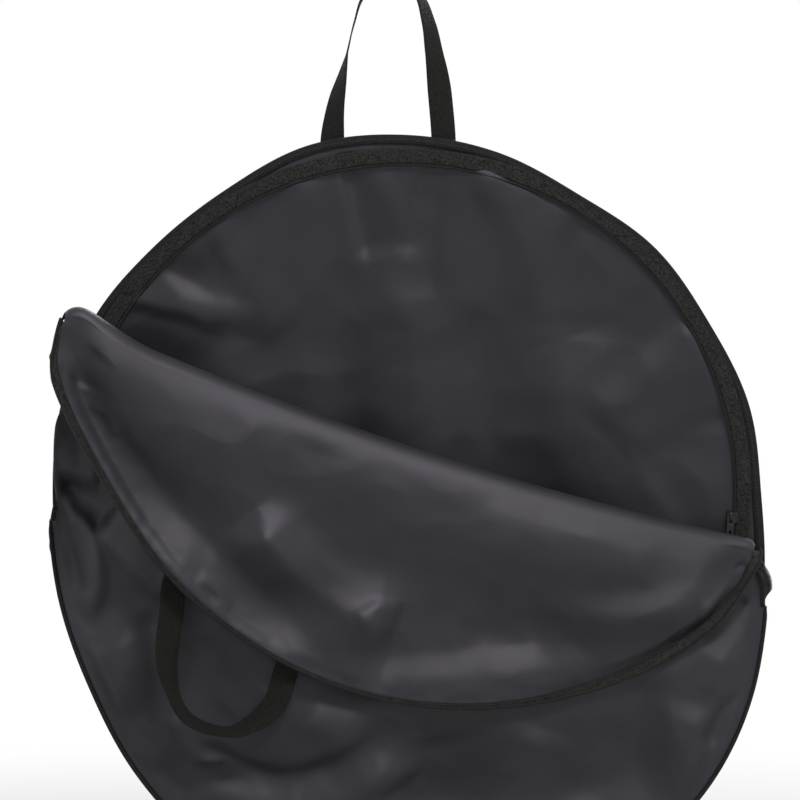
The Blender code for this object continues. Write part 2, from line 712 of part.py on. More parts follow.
def main():
    for old in list(bpy.data.objects):
        bpy.data.objects.remove(old)
    material("cloth", (0.036, 0.034, 0.041), 0.55)
    material("binding", (0.014, 0.014, 0.015), 0.70)
    material("piping", (0.020, 0.020, 0.022), 0.55)
    material("webbing", (0.016, 0.017, 0.013), 0.85)
    material("zip_tape", (0.022, 0.022, 0.022), 0.80)
    material("zip_coil", (0.030, 0.030, 0.031), 0.45)
    material("zip_metal", (0.22, 0.22, 0.23), 0.35, 0.9)

    # The handle is held at the origin; the bag swings on the line of its two roots.
    width = back_handle_right_x - back_handle_left_x
    grip_x = back_handle_left_x + width / 2
    root = Vector((grip_x, 0.0, back_root()))
    root.y = back_outline_y(grip_x, root.z) + root_level + sewing_gap
    swing = Matrix.Translation((0.0, 0.0, -back_handle_rise + root_radius))
    swing_axis = pivot("bag_swing_axis", swing)
    lean = Matrix.Rotation(math.radians(bag_lean_deg), 4, "X") @ Matrix.Translation(-root)
    bag = pivot("bag_frame", lean, swing_axis)

    build_back(bag)
    build_front(bag)
    build_gusset(bag)

    fold_axis = pivot("flap_fold_axis", fold, bag)
    build_flap(fold_axis)
    handle_frame, spacing = front_handle_frame()
    front_axis = pivot("front_handle_axis", handle_frame, fold_axis)
    build_front_handle(handle_frame, spacing, fold_axis, front_axis)
    handle = pivot("back_handle_frame", swing)
    build_back_handle(bag, handle, root)

    zip_axis = pivot("slider_travel_axis", Matrix.Rotation(-math.radians(slider_rest_deg), 4, "Y"), bag)
    at_coil = pivot("slider_place", Matrix.Translation((coil_circle, 0.0, 0.0)), zip_axis)
    centre_x = build_slider(at_coil)
    hang = Matrix.Translation((centre_x, -pull_axis_level(), 0.0)) @ Matrix.Rotation(
        -math.radians(bag_lean_deg), 4, "X")
    pull_axis = pivot("pull_swing_axis", hang, at_coil)
    build_pull(pull_axis)

    bpy.context.view_layer.update()
    for empty in (swing_axis, fold_axis, front_axis, zip_axis, at_coil, pull_axis):
        world = empty.matrix_world
        print(empty.name, "at", tuple(round(v, 6) for v in world.translation),
              "x", tuple(round(v, 6) for v in world.col[0][:3]),
              "y", tuple(round(v, 6) for v in world.col[1][:3]))


main()
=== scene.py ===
# Looks of the bike wheel bag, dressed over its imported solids.
import json
import math

import bmesh
import bpy
import numpy as np
from mathutils import Matrix, Vector, noise


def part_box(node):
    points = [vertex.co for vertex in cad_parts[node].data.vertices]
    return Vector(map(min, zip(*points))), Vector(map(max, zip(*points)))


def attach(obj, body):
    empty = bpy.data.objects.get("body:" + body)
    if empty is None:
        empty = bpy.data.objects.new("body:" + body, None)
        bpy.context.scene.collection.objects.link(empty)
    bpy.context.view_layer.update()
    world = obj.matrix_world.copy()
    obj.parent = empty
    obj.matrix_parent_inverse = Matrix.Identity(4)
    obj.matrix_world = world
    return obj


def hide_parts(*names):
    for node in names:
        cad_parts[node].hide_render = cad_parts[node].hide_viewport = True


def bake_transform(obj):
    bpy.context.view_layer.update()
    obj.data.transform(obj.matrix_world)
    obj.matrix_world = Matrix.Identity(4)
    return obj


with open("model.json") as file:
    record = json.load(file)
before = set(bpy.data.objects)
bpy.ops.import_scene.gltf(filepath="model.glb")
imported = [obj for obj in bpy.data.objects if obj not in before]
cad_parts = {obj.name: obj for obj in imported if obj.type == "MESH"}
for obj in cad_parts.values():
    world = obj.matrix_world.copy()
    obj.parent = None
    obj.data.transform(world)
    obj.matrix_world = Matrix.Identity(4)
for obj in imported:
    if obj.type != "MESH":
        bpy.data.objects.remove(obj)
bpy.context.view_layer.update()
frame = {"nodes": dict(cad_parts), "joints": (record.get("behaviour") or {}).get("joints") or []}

joints = {joint["name"]: joint for joint in frame["joints"]}
print("stage: frame loaded")

# The bag's own sizes, most of which repeat the solids' driving values
bag = {
    "mouthRadius": 0.404,
    "outlineStep": 15.0,
    "outlineShares": (1.012, 1.008, 0.990, 0.996, 0.984, 1.006, 1.020, 1.026,
                      1.000, 0.996, 1.008, 1.002, 0.994, 1.002, 1.012, 1.054,
                      1.098, 1.140, 1.172, 1.180, 1.172, 1.165, 1.120, 1.058),
    "depth": 0.096,
    "depthStations": (-212.0, -202.0, -190.0, -176.5, -150.0, -120.0, -90.0, -60.0, -35.0, -16.5, -8.0),
    "depthShares": (1.00, 0.90, 0.58, 0.24, 0.66, 0.94, 1.00, 0.92, 0.60, 0.24, 0.34),
    "backBelly": 0.018,
    "backBellyPower": 2.5,
    "frontBelly": 0.022,
    "frontBellyPower": 1.5,
    "gussetBulge": 0.004,
    "cloth": 0.0012,
    "edgeInset": 0.0015,
    "flatRim": 0.014,
    "foldHalf": 0.393,
    "rollRadius": 0.010,
    "flapRadius": 0.0115,
    "flapHalf": 0.412,
    "flapDrop": 0.295,
    "flapInset": 0.011,
    "flapRoundPower": 1.26,
    "flapFlare": 0.038,
    "flapFlarePower": 1.3,
    "flapEnd": 80.0,
    "flapTopShare": 0.990,
    "zipStart": -16.5,
    "zipFinish": 183.4,
    "frontLeft": -202.0,
    "frontRight": -10.5,
    "coilCircle": 0.378,
    "backHandleWidth": 0.126,
    "frontHandleWidth": 0.150,
}


# Frames: the bag's own, upright, and the fold's, both taken from the joints

def frameOf(across, up, origin):
    matrix = Matrix((across, up, across.cross(up))).transposed().to_4x4()
    matrix.translation = origin
    return matrix


zipAxis = joints["slider_travel"]
awayFromViewer = -Vector(zipAxis["axis"]).normalized()
bagFrame = frameOf(Vector((1.0, 0.0, 0.0)), awayFromViewer, Vector(zipAxis["pos_m"]))

foldAxis = joints["flap_fold"]
foldAlong = -Vector(foldAxis["axis"]).normalized()
foldAcross = foldAlong.cross(awayFromViewer).normalized()
foldFrame = frameOf(foldAlong, foldAcross, Vector(foldAxis["pos_m"]))
foldInBag = bagFrame.inverted() @ foldFrame


def placed(matrix, points):
    array = np.array(matrix)
    return points @ array[:3, :3].T + array[:3, 3]


def turned(matrix, ways):
    return ways @ np.array(matrix)[:3, :3].T


# Curves and surfaces of the bag, on arrays

def smoothAt(at, stations, values):
    stations, values = np.asarray(stations, float), np.asarray(values, float)
    slopes = np.gradient(values, stations)
    i = np.clip(np.searchsorted(stations, at) - 1, 0, len(stations) - 2)
    span = stations[i + 1] - stations[i]
    s = (at - stations[i]) / span
    return ((1 + 2 * s) * (1 - s) ** 2 * values[i] + s * (1 - s) ** 2 * span * slopes[i]
            + s * s * (3 - 2 * s) * values[i + 1] + s * s * (s - 1) * span * slopes[i + 1])


def runningLength(points):
    return np.concatenate([[0.0], np.cumsum(np.linalg.norm(np.diff(points, axis=0), axis=1))])


def rowsAt(marks, lengths, rows, curve=np.interp):
    # Rows read between their stations at the marks, each column by itself.
    return np.stack([curve(marks, lengths, column) for column in rows.T], axis=-1)


def unitRows(ways):
    return ways / np.linalg.norm(ways, axis=1)[:, None]


def ease(share):
    share = np.clip(share, 0.0, 1.0)
    return share * share * (3 - 2 * share)


def rimRadius(angle):
    turns = np.arange(-2, len(bag["outlineShares"]) + 3)
    shares = [bag["outlineShares"][i % len(bag["outlineShares"])] for i in turns]
    return bag["mouthRadius"] * smoothAt(np.mod(angle, 360.0), turns * bag["outlineStep"], shares)


def rimPoint(angle, y, inset):
    turn, reach = np.radians(angle), rimRadius(angle) - inset
    return np.stack([reach * np.cos(turn), y + 0 * turn, reach * np.sin(turn)], axis=-1)


def outwardAt(angle):
    turn = np.radians(angle)
    return np.stack([np.cos(turn), 0 * turn, np.sin(turn)], axis=-1)


def ringPath(points, angles):
    # Points round the rim as a path of frames: points, ways out of the bag and ways to the viewer.
    towardsViewer = np.tile((0.0, -1.0, 0.0), (len(angles), 1))
    return placed(bagFrame, points), turned(bagFrame, outwardAt(angles)), turned(bagFrame, towardsViewer)


def frontEdgeY(angle):
    return -bag["depth"] * smoothAt(angle, bag["depthStations"], bag["depthShares"])


def rollPoint(t, beta, radius):
    beta = np.radians(beta)
    return np.stack([t + 0 * beta, radius * np.sin(beta), -radius * np.cos(beta)], axis=-1)


def backSurface(angle, reach):
    edge = rimRadius(angle) - bag["edgeInset"]
    flat = 1 - bag["flatRim"] / edge
    swell = np.maximum(0.0, 1 - (reach / flat) ** bag["backBellyPower"])
    turn = np.radians(angle)
    return np.stack([reach * edge * np.cos(turn), bag["backBelly"] * swell,
                     reach * edge * np.sin(turn)], axis=-1)


def frontSurface(u, v):
    angle = bag["frontLeft"] + (bag["frontRight"] - bag["frontLeft"]) * u
    top = placed(foldInBag, rollPoint((2 * u - 1) * bag["foldHalf"], 0 * u, bag["rollRadius"]))
    low = rimPoint(angle, frontEdgeY(angle), bag["edgeInset"])
    flat = np.minimum(0.5, bag["flatRim"] / np.linalg.norm(top - low, axis=-1))
    inner = np.minimum(1.0, v / (1 - flat))
    bulge = np.abs(np.sin(math.pi * inner)) ** bag["frontBellyPower"]
    swell = bag["frontBelly"] * np.sin(math.pi * u) * bulge
    point = top + (low - top) * v[:, None]
    point[:, 1] = top[:, 1] + (low[:, 1] - top[:, 1]) * ease(inner) - swell
    return point


# The front panel's left mouth edge turns in behind a soft lip of its own cloth

tuck = {"to": 0.128, "fade": 0.022, "inward": 0.013, "back": 0.012, "curl": 0.009, "curlPower": 1.5,
        "cornerTo": 0.062, "cornerFade": 0.04, "cornerInward": 0.020, "broad": 0.050, "broadShare": 0.6,
        "lip": 0.007, "lipAt": 0.022, "lipReach": 0.016}


def frontShape(u, v):
    points = frontSurface(u, v)
    edge = np.linalg.norm(points - frontSurface(u, np.ones_like(v)), axis=1)
    amount = ease((tuck["to"] - u) / tuck["fade"])
    corner = tuck["cornerInward"] * ease((tuck["cornerTo"] - u) / tuck["cornerFade"])
    close = np.exp(-(edge / tuck["curl"]) ** tuck["curlPower"])
    wide = np.exp(-(edge / tuck["broad"]) ** 2)
    cornerShare = tuck["broadShare"] * wide + (1 - tuck["broadShare"]) * close
    inward = amount * tuck["inward"] * close + corner * cornerShare
    lip = amount * tuck["lip"] * np.exp(-((edge - tuck["lipAt"]) / tuck["lipReach"]) ** 2)
    outward = unitRows(points * np.array([1.0, 0.0, 1.0]))
    points = points + outward * (lip - inward)[:, None]
    points[:, 1] += tuck["back"] * amount * close - lip
    return points


def flapFlareAt(n):
    return bag["flapRadius"] + bag["flapFlare"] * (np.abs(n) / bag["flapDrop"]) ** bag["flapFlarePower"]


def flapSurface(u, v):
    phi = np.radians(bag["flapEnd"]) * (2 * u - 1)
    t = (bag["flapHalf"] - bag["flapInset"]) * np.sin(phi)
    n = -(bag["flapDrop"] - bag["flapInset"]) * np.cos(phi) ** bag["flapRoundPower"] * v
    top = (2 * u - 1) * bag["foldHalf"] * bag["flapTopShare"]
    return np.stack([top + (t - top) * v, n, flapFlareAt(n)], axis=-1)


# The fold sags between its ends and its left end reaches out to the side

sag = {"depth": 0.021, "fade": 0.20, "reach": 0.033, "reachFrom": 0.28, "reachLength": 0.115,
       "flapFade": 0.20, "bagFade": 0.028, "lift": 0.018, "liftLength": 0.085, "liftFade": 0.07,
       "roundLeft": 0.026, "roundRight": 0.012, "roundDepth": 0.075}


def settled(points, fade=sag["flapFade"]):
    t, n = points[:, 0], points[:, 1]
    moved = points.copy()
    moved[:, 0] -= sag["reach"] * ease((-t - sag["reachFrom"]) / sag["reachLength"]) * ease(n / fade + 1)
    middle = np.clip(1 - (t / bag["foldHalf"]) ** 2, 0, 1) * ease(n / sag["fade"] + 1)
    radius = np.where(t < 0, sag["roundLeft"], sag["roundRight"])
    within = np.clip(radius - (bag["foldHalf"] - np.abs(t)), 0, radius)
    rounding = (radius - np.sqrt(radius ** 2 - within ** 2)) * ease(n / sag["roundDepth"] + 1)
    lift = sag["lift"] * ease(1 - (bag["foldHalf"] + t) / sag["liftLength"]) * ease(n / sag["liftFade"] + 1)
    moved[:, 1] += lift - sag["depth"] * middle - rounding
    return moved


def settledInBag(points):
    return placed(foldInBag, settled(placed(foldInBag.inverted(), points), sag["bagFade"]))


# A pixel of the photograph, as a place in the bag's frame and in the fold's

view = {"centreX": 403.9, "centreY": 497.3, "metresPerPixel": 0.001145, "perDepth": 0.00035,
        "panelDepth": -0.03, "flapDepth": -0.09, "flapSlant": 0.08}


def bagSpot(px, py, depth=view["panelDepth"]):
    scale = view["metresPerPixel"] + view["perDepth"] * depth
    return (px - view["centreX"]) * scale, (view["centreY"] - py) * scale


def flapSpot(px, py):
    x, z = bagSpot(px, py, view["flapDepth"])
    depth = foldInBag.translation.y + (x - foldInBag.translation.x) * view["flapSlant"]
    spot = foldInBag.inverted() @ Vector((x, depth, z))
    return spot.x, spot.y


# A fold follows pixels of the photograph. Its numbers are its line, its flanks' width at each end, its
# height, how much wider its left flank is than its right one, and how round its crest is.

foldForm = {"stations": 15, "endShare": 0.25, "endFade": 0.22, "pastFade": 4.0, "footRound": 0.12}


def foldLine(pixels, spotOf):
    spots = np.array([spotOf(*pixel) for pixel in pixels])
    lengths = runningLength(spots)
    return rowsAt(np.linspace(0.0, lengths[-1], foldForm["stations"]), lengths, spots, smoothAt)


def alongLine(places, line):
    # For each place: how far along the line it lies (0 to 1), how far to its left, and how far past its ends.
    starts, ways = line[:-1], np.diff(line, axis=0)
    lengths = np.linalg.norm(ways, axis=1)
    ways = ways / lengths[:, None]
    gaps = places[:, None, :] - starts[None, :, :]
    forward = np.sum(gaps * ways, axis=2)
    clipped = np.clip(forward, 0, lengths)
    distance = np.linalg.norm(gaps - clipped[..., None] * ways, axis=2)
    nearest = np.argmin(distance, axis=1)
    every = np.arange(len(places))
    gap, way = gaps[every, nearest], ways[nearest]
    left = np.sign(way[:, 0] * gap[:, 1] - way[:, 1] * gap[:, 0])
    share = (nearest + clipped[every, nearest] / lengths[nearest]) / len(starts)
    past = forward[every, nearest] - clipped[every, nearest]
    past = np.where((nearest == 0) & (past < 0) | (nearest == len(starts) - 1) & (past > 0), past, 0.0)
    beside = np.sqrt(np.maximum(distance[every, nearest] ** 2 - past ** 2, 0.0))
    return share, left * beside, past


def foldField(places, folds, spotOf):
    total = np.zeros(len(places))
    for pixels, nearWidth, farWidth, height, lean, crest in folds:
        share, across, past = alongLine(places, foldLine(pixels, spotOf))
        width = (nearWidth + (farWidth - nearWidth) * share) * np.where(across > 0, 1 + lean, 1 - lean)
        q, beyond = across / width, past / (nearWidth + farWidth)
        start = ease(foldForm["endShare"] + share / foldForm["endFade"])
        finish = ease(foldForm["endShare"] + (1 - share) / foldForm["endFade"])
        ends = start * finish * np.exp(-foldForm["pastFade"] * beyond * beyond)
        left, right = [np.sqrt((q + side) ** 2 + foldForm["footRound"]) for side in (1, -1)]
        feet = (left + right) / 2
        total += height * ends * (feet - np.sqrt(q * q + crest * crest))
    return total


def distanceTo(places, line):
    _, across, past = alongLine(places, line)
    return np.hypot(across, past)


# Small unevenness: hollows and creases, each of a height, a size and a seed, and the ripples at a seam

clothDetail = {"octaves": 3, "creaseFall": 2.2, "puckerHeight": 0.0016, "puckerSize": 0.013,
               "puckerFrom": 0.006, "puckerReach": 0.014, "rootReach": 0.045}


def crumple(places, height, size, seed):
    octaves = clothDetail["octaves"]
    heights = [noise.fractal(Vector((x / size + seed, z / size - seed, seed)), 1.0, 2.0, octaves)
               for x, z in places]
    return height * np.array(heights)


def creases(places, height, size, seed):
    fall = clothDetail["creaseFall"]
    heights = [1 - abs(noise.noise(Vector((x / size + seed, z / size, seed)))) * fall for x, z in places]
    return height * np.array(heights)


def puckers(places, edge, seed):
    size = clothDetail["puckerSize"]
    ripple = np.array([noise.noise(Vector((x / size + seed, z / size, seed))) for x, z in places])
    fade = ease(edge / clothDetail["puckerFrom"]) * np.exp(-edge / clothDetail["puckerReach"])
    return clothDetail["puckerHeight"] * ripple * fade


def unevenness(places, panel):
    return crumple(places, *panel["crumple"]) + creases(places, *panel["creases"])


def levelled(places, roots, heightOf):
    # The relief, let down smoothly to the cloth's own level at a handle's roots.
    height = heightOf(places)
    for root in roots:
        near = np.exp(-np.sum((places - np.array(root)) ** 2, axis=1) / clothDetail["rootReach"] ** 2)
        height = height - heightOf(np.array([root]))[0] * near
    return height


print("stage: surfaces ready")


# Meshes

def finished(name, bm, material):
    mesh = bpy.data.meshes.new(name)
    bm.to_mesh(mesh)
    bm.free()
    mesh.materials.append(material)
    mesh.shade_smooth()
    piece = bpy.data.objects.new(name, mesh)
    bpy.context.scene.collection.objects.link(piece)
    return piece


def clothGrid(name, columns, rows, place, flat, material):
    # A flat cut of cloth, with its weave's UV map in metres, laid on the surface that `place` gives.
    bm = bmesh.new()
    layer = bm.loops.layers.uv.new("weave")
    bmesh.ops.create_grid(bm, x_segments=columns, y_segments=rows, size=0.5)
    shares = np.array([vert.co[:2] for vert in bm.verts]) + 0.5
    for face in bm.faces:
        for loop in face.loops:
            loop[layer].uv = ((loop.vert.co.x + 0.5) * flat[0], (loop.vert.co.y + 0.5) * flat[1])
    for vert, spot in zip(bm.verts, place(shares[:, 0], shares[:, 1])):
        vert.co = spot
    piece = finished(name, bm, material)
    solid = piece.modifiers.new("cloth", "SOLIDIFY")
    solid.thickness = bag["cloth"]
    solid.offset = 0.0
    return piece


def sweep(name, path, section, material):
    # A closed section carried along a path of (points, outward, normal), from a grid rolled shut. The section
    # is one list of (outward, up) corners, or one such list for each station.
    points, outward, normal = path[:3]
    corners = np.broadcast_to(np.array(section), (len(points), np.shape(section)[-2], 2))
    rings = points[:, None] + outward[:, None] * corners[..., :1] + normal[:, None] * corners[..., 1:]
    count, sides = rings.shape[:2]
    steps = runningLength(points)
    girth = runningLength(np.concatenate([rings[0], rings[0][:1]]))
    bm = bmesh.new()
    layer = bm.loops.layers.uv.new("weave")
    bmesh.ops.create_grid(bm, x_segments=sides, y_segments=count - 1, size=0.5)
    station = {vert: (round((vert.co.x + 0.5) * sides), round((vert.co.y + 0.5) * (count - 1)))
               for vert in bm.verts}
    for face in bm.faces:
        for loop in face.loops:
            i, j = station[loop.vert]
            loop[layer].uv = (steps[j], girth[i])
    for vert, (i, j) in station.items():
        vert.co = rings[j, i % sides]
    seam = [vert for vert, (i, j) in station.items() if i in (0, sides)]
    bmesh.ops.remove_doubles(bm, verts=seam, dist=1e-6)
    bmesh.ops.holes_fill(bm, edges=[edge for edge in bm.edges if edge.is_boundary])
    bmesh.ops.recalc_face_normals(bm, faces=bm.faces)
    return finished(name, bm, material)


def resampled(points, outward, normal, spacing, rounding=0, extra=None):
    # Evenly spaced stations along a path of frames, with its corners rounded.
    lengths = runningLength(points)
    marks = np.linspace(0.0, lengths[-1], max(3, round(lengths[-1] / spacing)))
    bundle = [rowsAt(marks, lengths, field) for field in (points, outward, normal)]
    for field in bundle:
        for _ in range(rounding):
            field[1:-1] = field[1:-1] * 0.5 + (field[:-2] + field[2:]) * 0.25
    points, outward, normal = bundle
    along = unitRows(np.gradient(points, axis=0))
    outward = unitRows(outward - along * np.sum(outward * along, axis=1)[:, None])
    across = np.cross(outward, along)
    across *= np.sign(np.sum(across * normal, axis=1))[:, None]
    if extra is None:
        return points, outward, across
    return points, outward, across, rowsAt(marks, lengths, extra)


def stitchRows(name, paths, offset, level, pattern, material):
    # Rows of thread, each stitch a small stretched ball half sunk in the cloth.
    bm = bmesh.new()
    size = Matrix.Diagonal((pattern["length"] / 2, pattern["radius"], pattern["radius"], 1.0))
    for path in paths:
        points, outward, normal = path[:3]
        lengths = runningLength(points)
        for at in np.arange(pattern["pitch"] / 2, lengths[-1], pattern["pitch"]):
            j = int(np.clip(np.searchsorted(lengths, at), 1, len(points) - 1))
            share = (at - lengths[j - 1]) / (lengths[j] - lengths[j - 1])
            centre = points[j - 1] + (points[j] - points[j - 1]) * share
            centre = centre + outward[j] * offset + normal[j] * level
            way = Vector(points[j] - points[j - 1]).normalized()
            up = Vector(normal[j])
            side = up.cross(way).normalized()
            turn = Matrix((way, side, way.cross(side))).transposed().to_4x4()
            turn.translation = Vector(centre)
            bmesh.ops.create_icosphere(bm, subdivisions=1, radius=1.0, matrix=turn @ size)
    return finished(name, bm, material)


# Materials

plainLook = {"metallic": 0.0, "sheen": 0.0, "sheenRoughness": 0.35, "specular": 0.5, "tint": (1.0, 1.0, 1.0)}


def newMaterial(name, look):
    look = {**plainLook, **look}
    made = bpy.data.materials.new(name)
    made.use_nodes = True
    shader = made.node_tree.nodes["Principled BSDF"]
    shader.inputs["Base Color"].default_value = (*look["light"], 1.0)
    shader.inputs["Specular Tint"].default_value = (*look["tint"], 1.0)
    shader.inputs["Roughness"].default_value = look["roughness"]
    shader.inputs["Metallic"].default_value = look["metallic"]
    shader.inputs["Specular IOR Level"].default_value = look["specular"]
    shader.inputs["Sheen Weight"].default_value = look["sheen"]
    shader.inputs["Sheen Roughness"].default_value = look["sheenRoughness"]
    return made, made.node_tree, shader


def node(tree, kind, settings=None, **values):
    made = tree.nodes.new(kind)
    for key, value in (settings or {}).items():
        setattr(made, key, value)
    for key, value in values.items():
        made.inputs[key.replace("_", " ")].default_value = value
    return made


def maths(tree, operation, *values):
    made = node(tree, "ShaderNodeMath", {"operation": operation})
    for slot, value in zip(made.inputs, values):
        if isinstance(value, (int, float)):
            slot.default_value = value
        else:
            tree.links.new(value, slot)
    return made.outputs[0]


def colourSpread(tree, shader, factor, low, high, spread=0.2):
    ramp = node(tree, "ShaderNodeValToRGB")
    ramp.color_ramp.elements[0].color = (*low, 1.0)
    ramp.color_ramp.elements[1].color = (*high, 1.0)
    ramp.color_ramp.elements[0].position = 0.5 - spread
    ramp.color_ramp.elements[1].position = 0.5 + spread
    tree.links.new(factor, ramp.inputs[0])
    tree.links.new(ramp.outputs[0], shader.inputs["Base Color"])


def noiseAt(tree, coordinates, scale, detail=3.0, roughness=0.55):
    made = node(tree, "ShaderNodeTexNoise", Scale=scale, Detail=detail, Roughness=roughness)
    tree.links.new(coordinates, made.inputs["Vector"])
    return made.outputs["Fac"]


def bumped(tree, shader, layers):
    # Each layer is a height, its distance in metres and its strength, coarse ones first.
    last = None
    for height, distance, strength in layers:
        bump = node(tree, "ShaderNodeBump", Strength=strength, Distance=distance)
        tree.links.new(height, bump.inputs["Height"])
        if last is not None:
            tree.links.new(last, bump.inputs["Normal"])
        last = bump.outputs["Normal"]
    tree.links.new(last, shader.inputs["Normal"])


def weaveHeight(tree, look):
    # Over and under of a plain weave, from the UV map in metres.
    uv = node(tree, "ShaderNodeUVMap", {"uv_map": "weave"})
    split = node(tree, "ShaderNodeSeparateXYZ")
    tree.links.new(uv.outputs[0], split.inputs[0])
    warp, weft = [maths(tree, "SINE", maths(tree, "MULTIPLY", split.outputs[k], math.tau / look[key]))
                  for k, key in enumerate(("pitchAlong", "pitchAcross"))]
    return maths(tree, "MULTIPLY", warp, weft)


def objectCoordinates(tree):
    return node(tree, "ShaderNodeTexCoord").outputs["Object"]


clothLook = {
    "dark": (0.011, 0.0105, 0.0125), "light": (0.019, 0.018, 0.0215), "toneScale": 9.0,
    "roughness": 0.44, "sheen": 0.05, "specular": 0.34, "tint": (0.94, 0.90, 1.0),
    "pitchAlong": 0.0009, "pitchAcross": 0.0009, "weaveDepth": 0.00006, "weaveStrength": 0.5,
    "wrinkleScale": 55.0, "wrinkleDetail": 4.0, "wrinkleRoughness": 0.6, "wrinkleDepth": 0.0006,
    "wrinkleStrength": 0.5,
}
tapeLook = {
    "dark": (0.0015, 0.0015, 0.0015), "light": (0.040, 0.040, 0.038), "roughness": 0.75, "sheen": 0.03,
    "specular": 0.16, "pitchAlong": 0.0016, "pitchAcross": 0.0011, "depth": 0.00035, "grain": 430.0,
    "grainDetail": 2.0, "grainRoughness": 0.7, "spread": 0.11, "weaveShare": 0.35, "weaveStrength": 0.8,
    "grainStrength": 0.6,
}
bindingLook = {
    **tapeLook, "dark": (0.0015, 0.0015, 0.0016), "light": (0.020, 0.020, 0.0205), "roughness": 0.66,
    "pitchAlong": 0.0014, "pitchAcross": 0.0010, "depth": 0.00022, "grain": 480.0, "spread": 0.14,
}
webbingLook = {
    **tapeLook, "dark": (0.0025, 0.0026, 0.0023), "light": (0.0135, 0.0140, 0.0120), "roughness": 0.78,
    "pitchAlong": 0.0034, "pitchAcross": 0.0042, "depth": 0.00060, "grain": 300.0, "spread": 0.2,
}
coilLook = {
    "light": (0.010, 0.010, 0.0105), "roughness": 0.42, "specular": 0.3,
    "grain": 900.0, "grainDetail": 2.0, "depth": 0.0001, "grainStrength": 0.3,
}
metalLook = {
    "light": (0.018, 0.018, 0.019), "roughness": 0.42, "metallic": 0.7,
    "grain": 700.0, "grainDetail": 4.0, "depth": 0.00008, "grainStrength": 0.35,
    "toneScale": 260.0, "tones": ((0.010, 0.010, 0.011), (0.030, 0.030, 0.032)),
}
threadLook = {
    "light": (0.020, 0.020, 0.021), "roughness": 0.6, "sheen": 0.2,
    "grain": 1500.0, "grainDetail": 2.0, "depth": 0.0001, "grainStrength": 0.5,
}


def makeClothMaterial(name, look):
    made, tree, shader = newMaterial(name, look)
    spots = objectCoordinates(tree)
    colourSpread(tree, shader, noiseAt(tree, spots, look["toneScale"]), look["dark"], look["light"])
    weave = weaveHeight(tree, look)
    soft = noiseAt(tree, spots, look["wrinkleScale"], look["wrinkleDetail"], look["wrinkleRoughness"])
    bumped(tree, shader, [(soft, look["wrinkleDepth"], look["wrinkleStrength"]),
                          (weave, look["weaveDepth"], look["weaveStrength"])])
    return made


def makeWovenMaterial(name, look):
    made, tree, shader = newMaterial(name, look)
    weave = weaveHeight(tree, look)
    grain = noiseAt(tree, objectCoordinates(tree), look["grain"], look["grainDetail"], look["grainRoughness"])
    # The weave's height, between -1 and 1, becomes a tone between 0.25 and 0.75
    lifted = maths(tree, "MULTIPLY_ADD", weave, 0.25, 0.5)
    mixed = maths(tree, "ADD", maths(tree, "MULTIPLY", lifted, look["weaveShare"]),
                  maths(tree, "MULTIPLY", grain, 1 - look["weaveShare"]))
    colourSpread(tree, shader, mixed, look["dark"], look["light"], look["spread"])
    bumped(tree, shader, [(grain, look["depth"], look["grainStrength"]),
                          (weave, look["depth"], look["weaveStrength"])])
    return made


def makeFineMaterial(name, look):
    made, tree, shader = newMaterial(name, look)
    grain = noiseAt(tree, objectCoordinates(tree), look["grain"], look["grainDetail"])
    if "tones" in look:
        colourSpread(tree, shader, noiseAt(tree, objectCoordinates(tree), look["toneScale"]), *look["tones"])
    bumped(tree, shader, [(grain, look["depth"], look["grainStrength"])])
    return made


clothMaterial = makeClothMaterial("bagCloth", clothLook)
tapeMaterial = makeWovenMaterial("zipTapeWeave", tapeLook)
bindingMaterial = makeWovenMaterial("bindingTape", bindingLook)
webbingMaterial = makeWovenMaterial("handleWebbing", webbingLook)
coilMaterial = makeFineMaterial("coilNylon", coilLook)
metalMaterial = makeFineMaterial("zipMetal", metalLook)
threadMaterial = makeFineMaterial("sewingThread", threadLook)
print("stage: materials made")


# Back panel: one round of cloth, drawn up by the handle

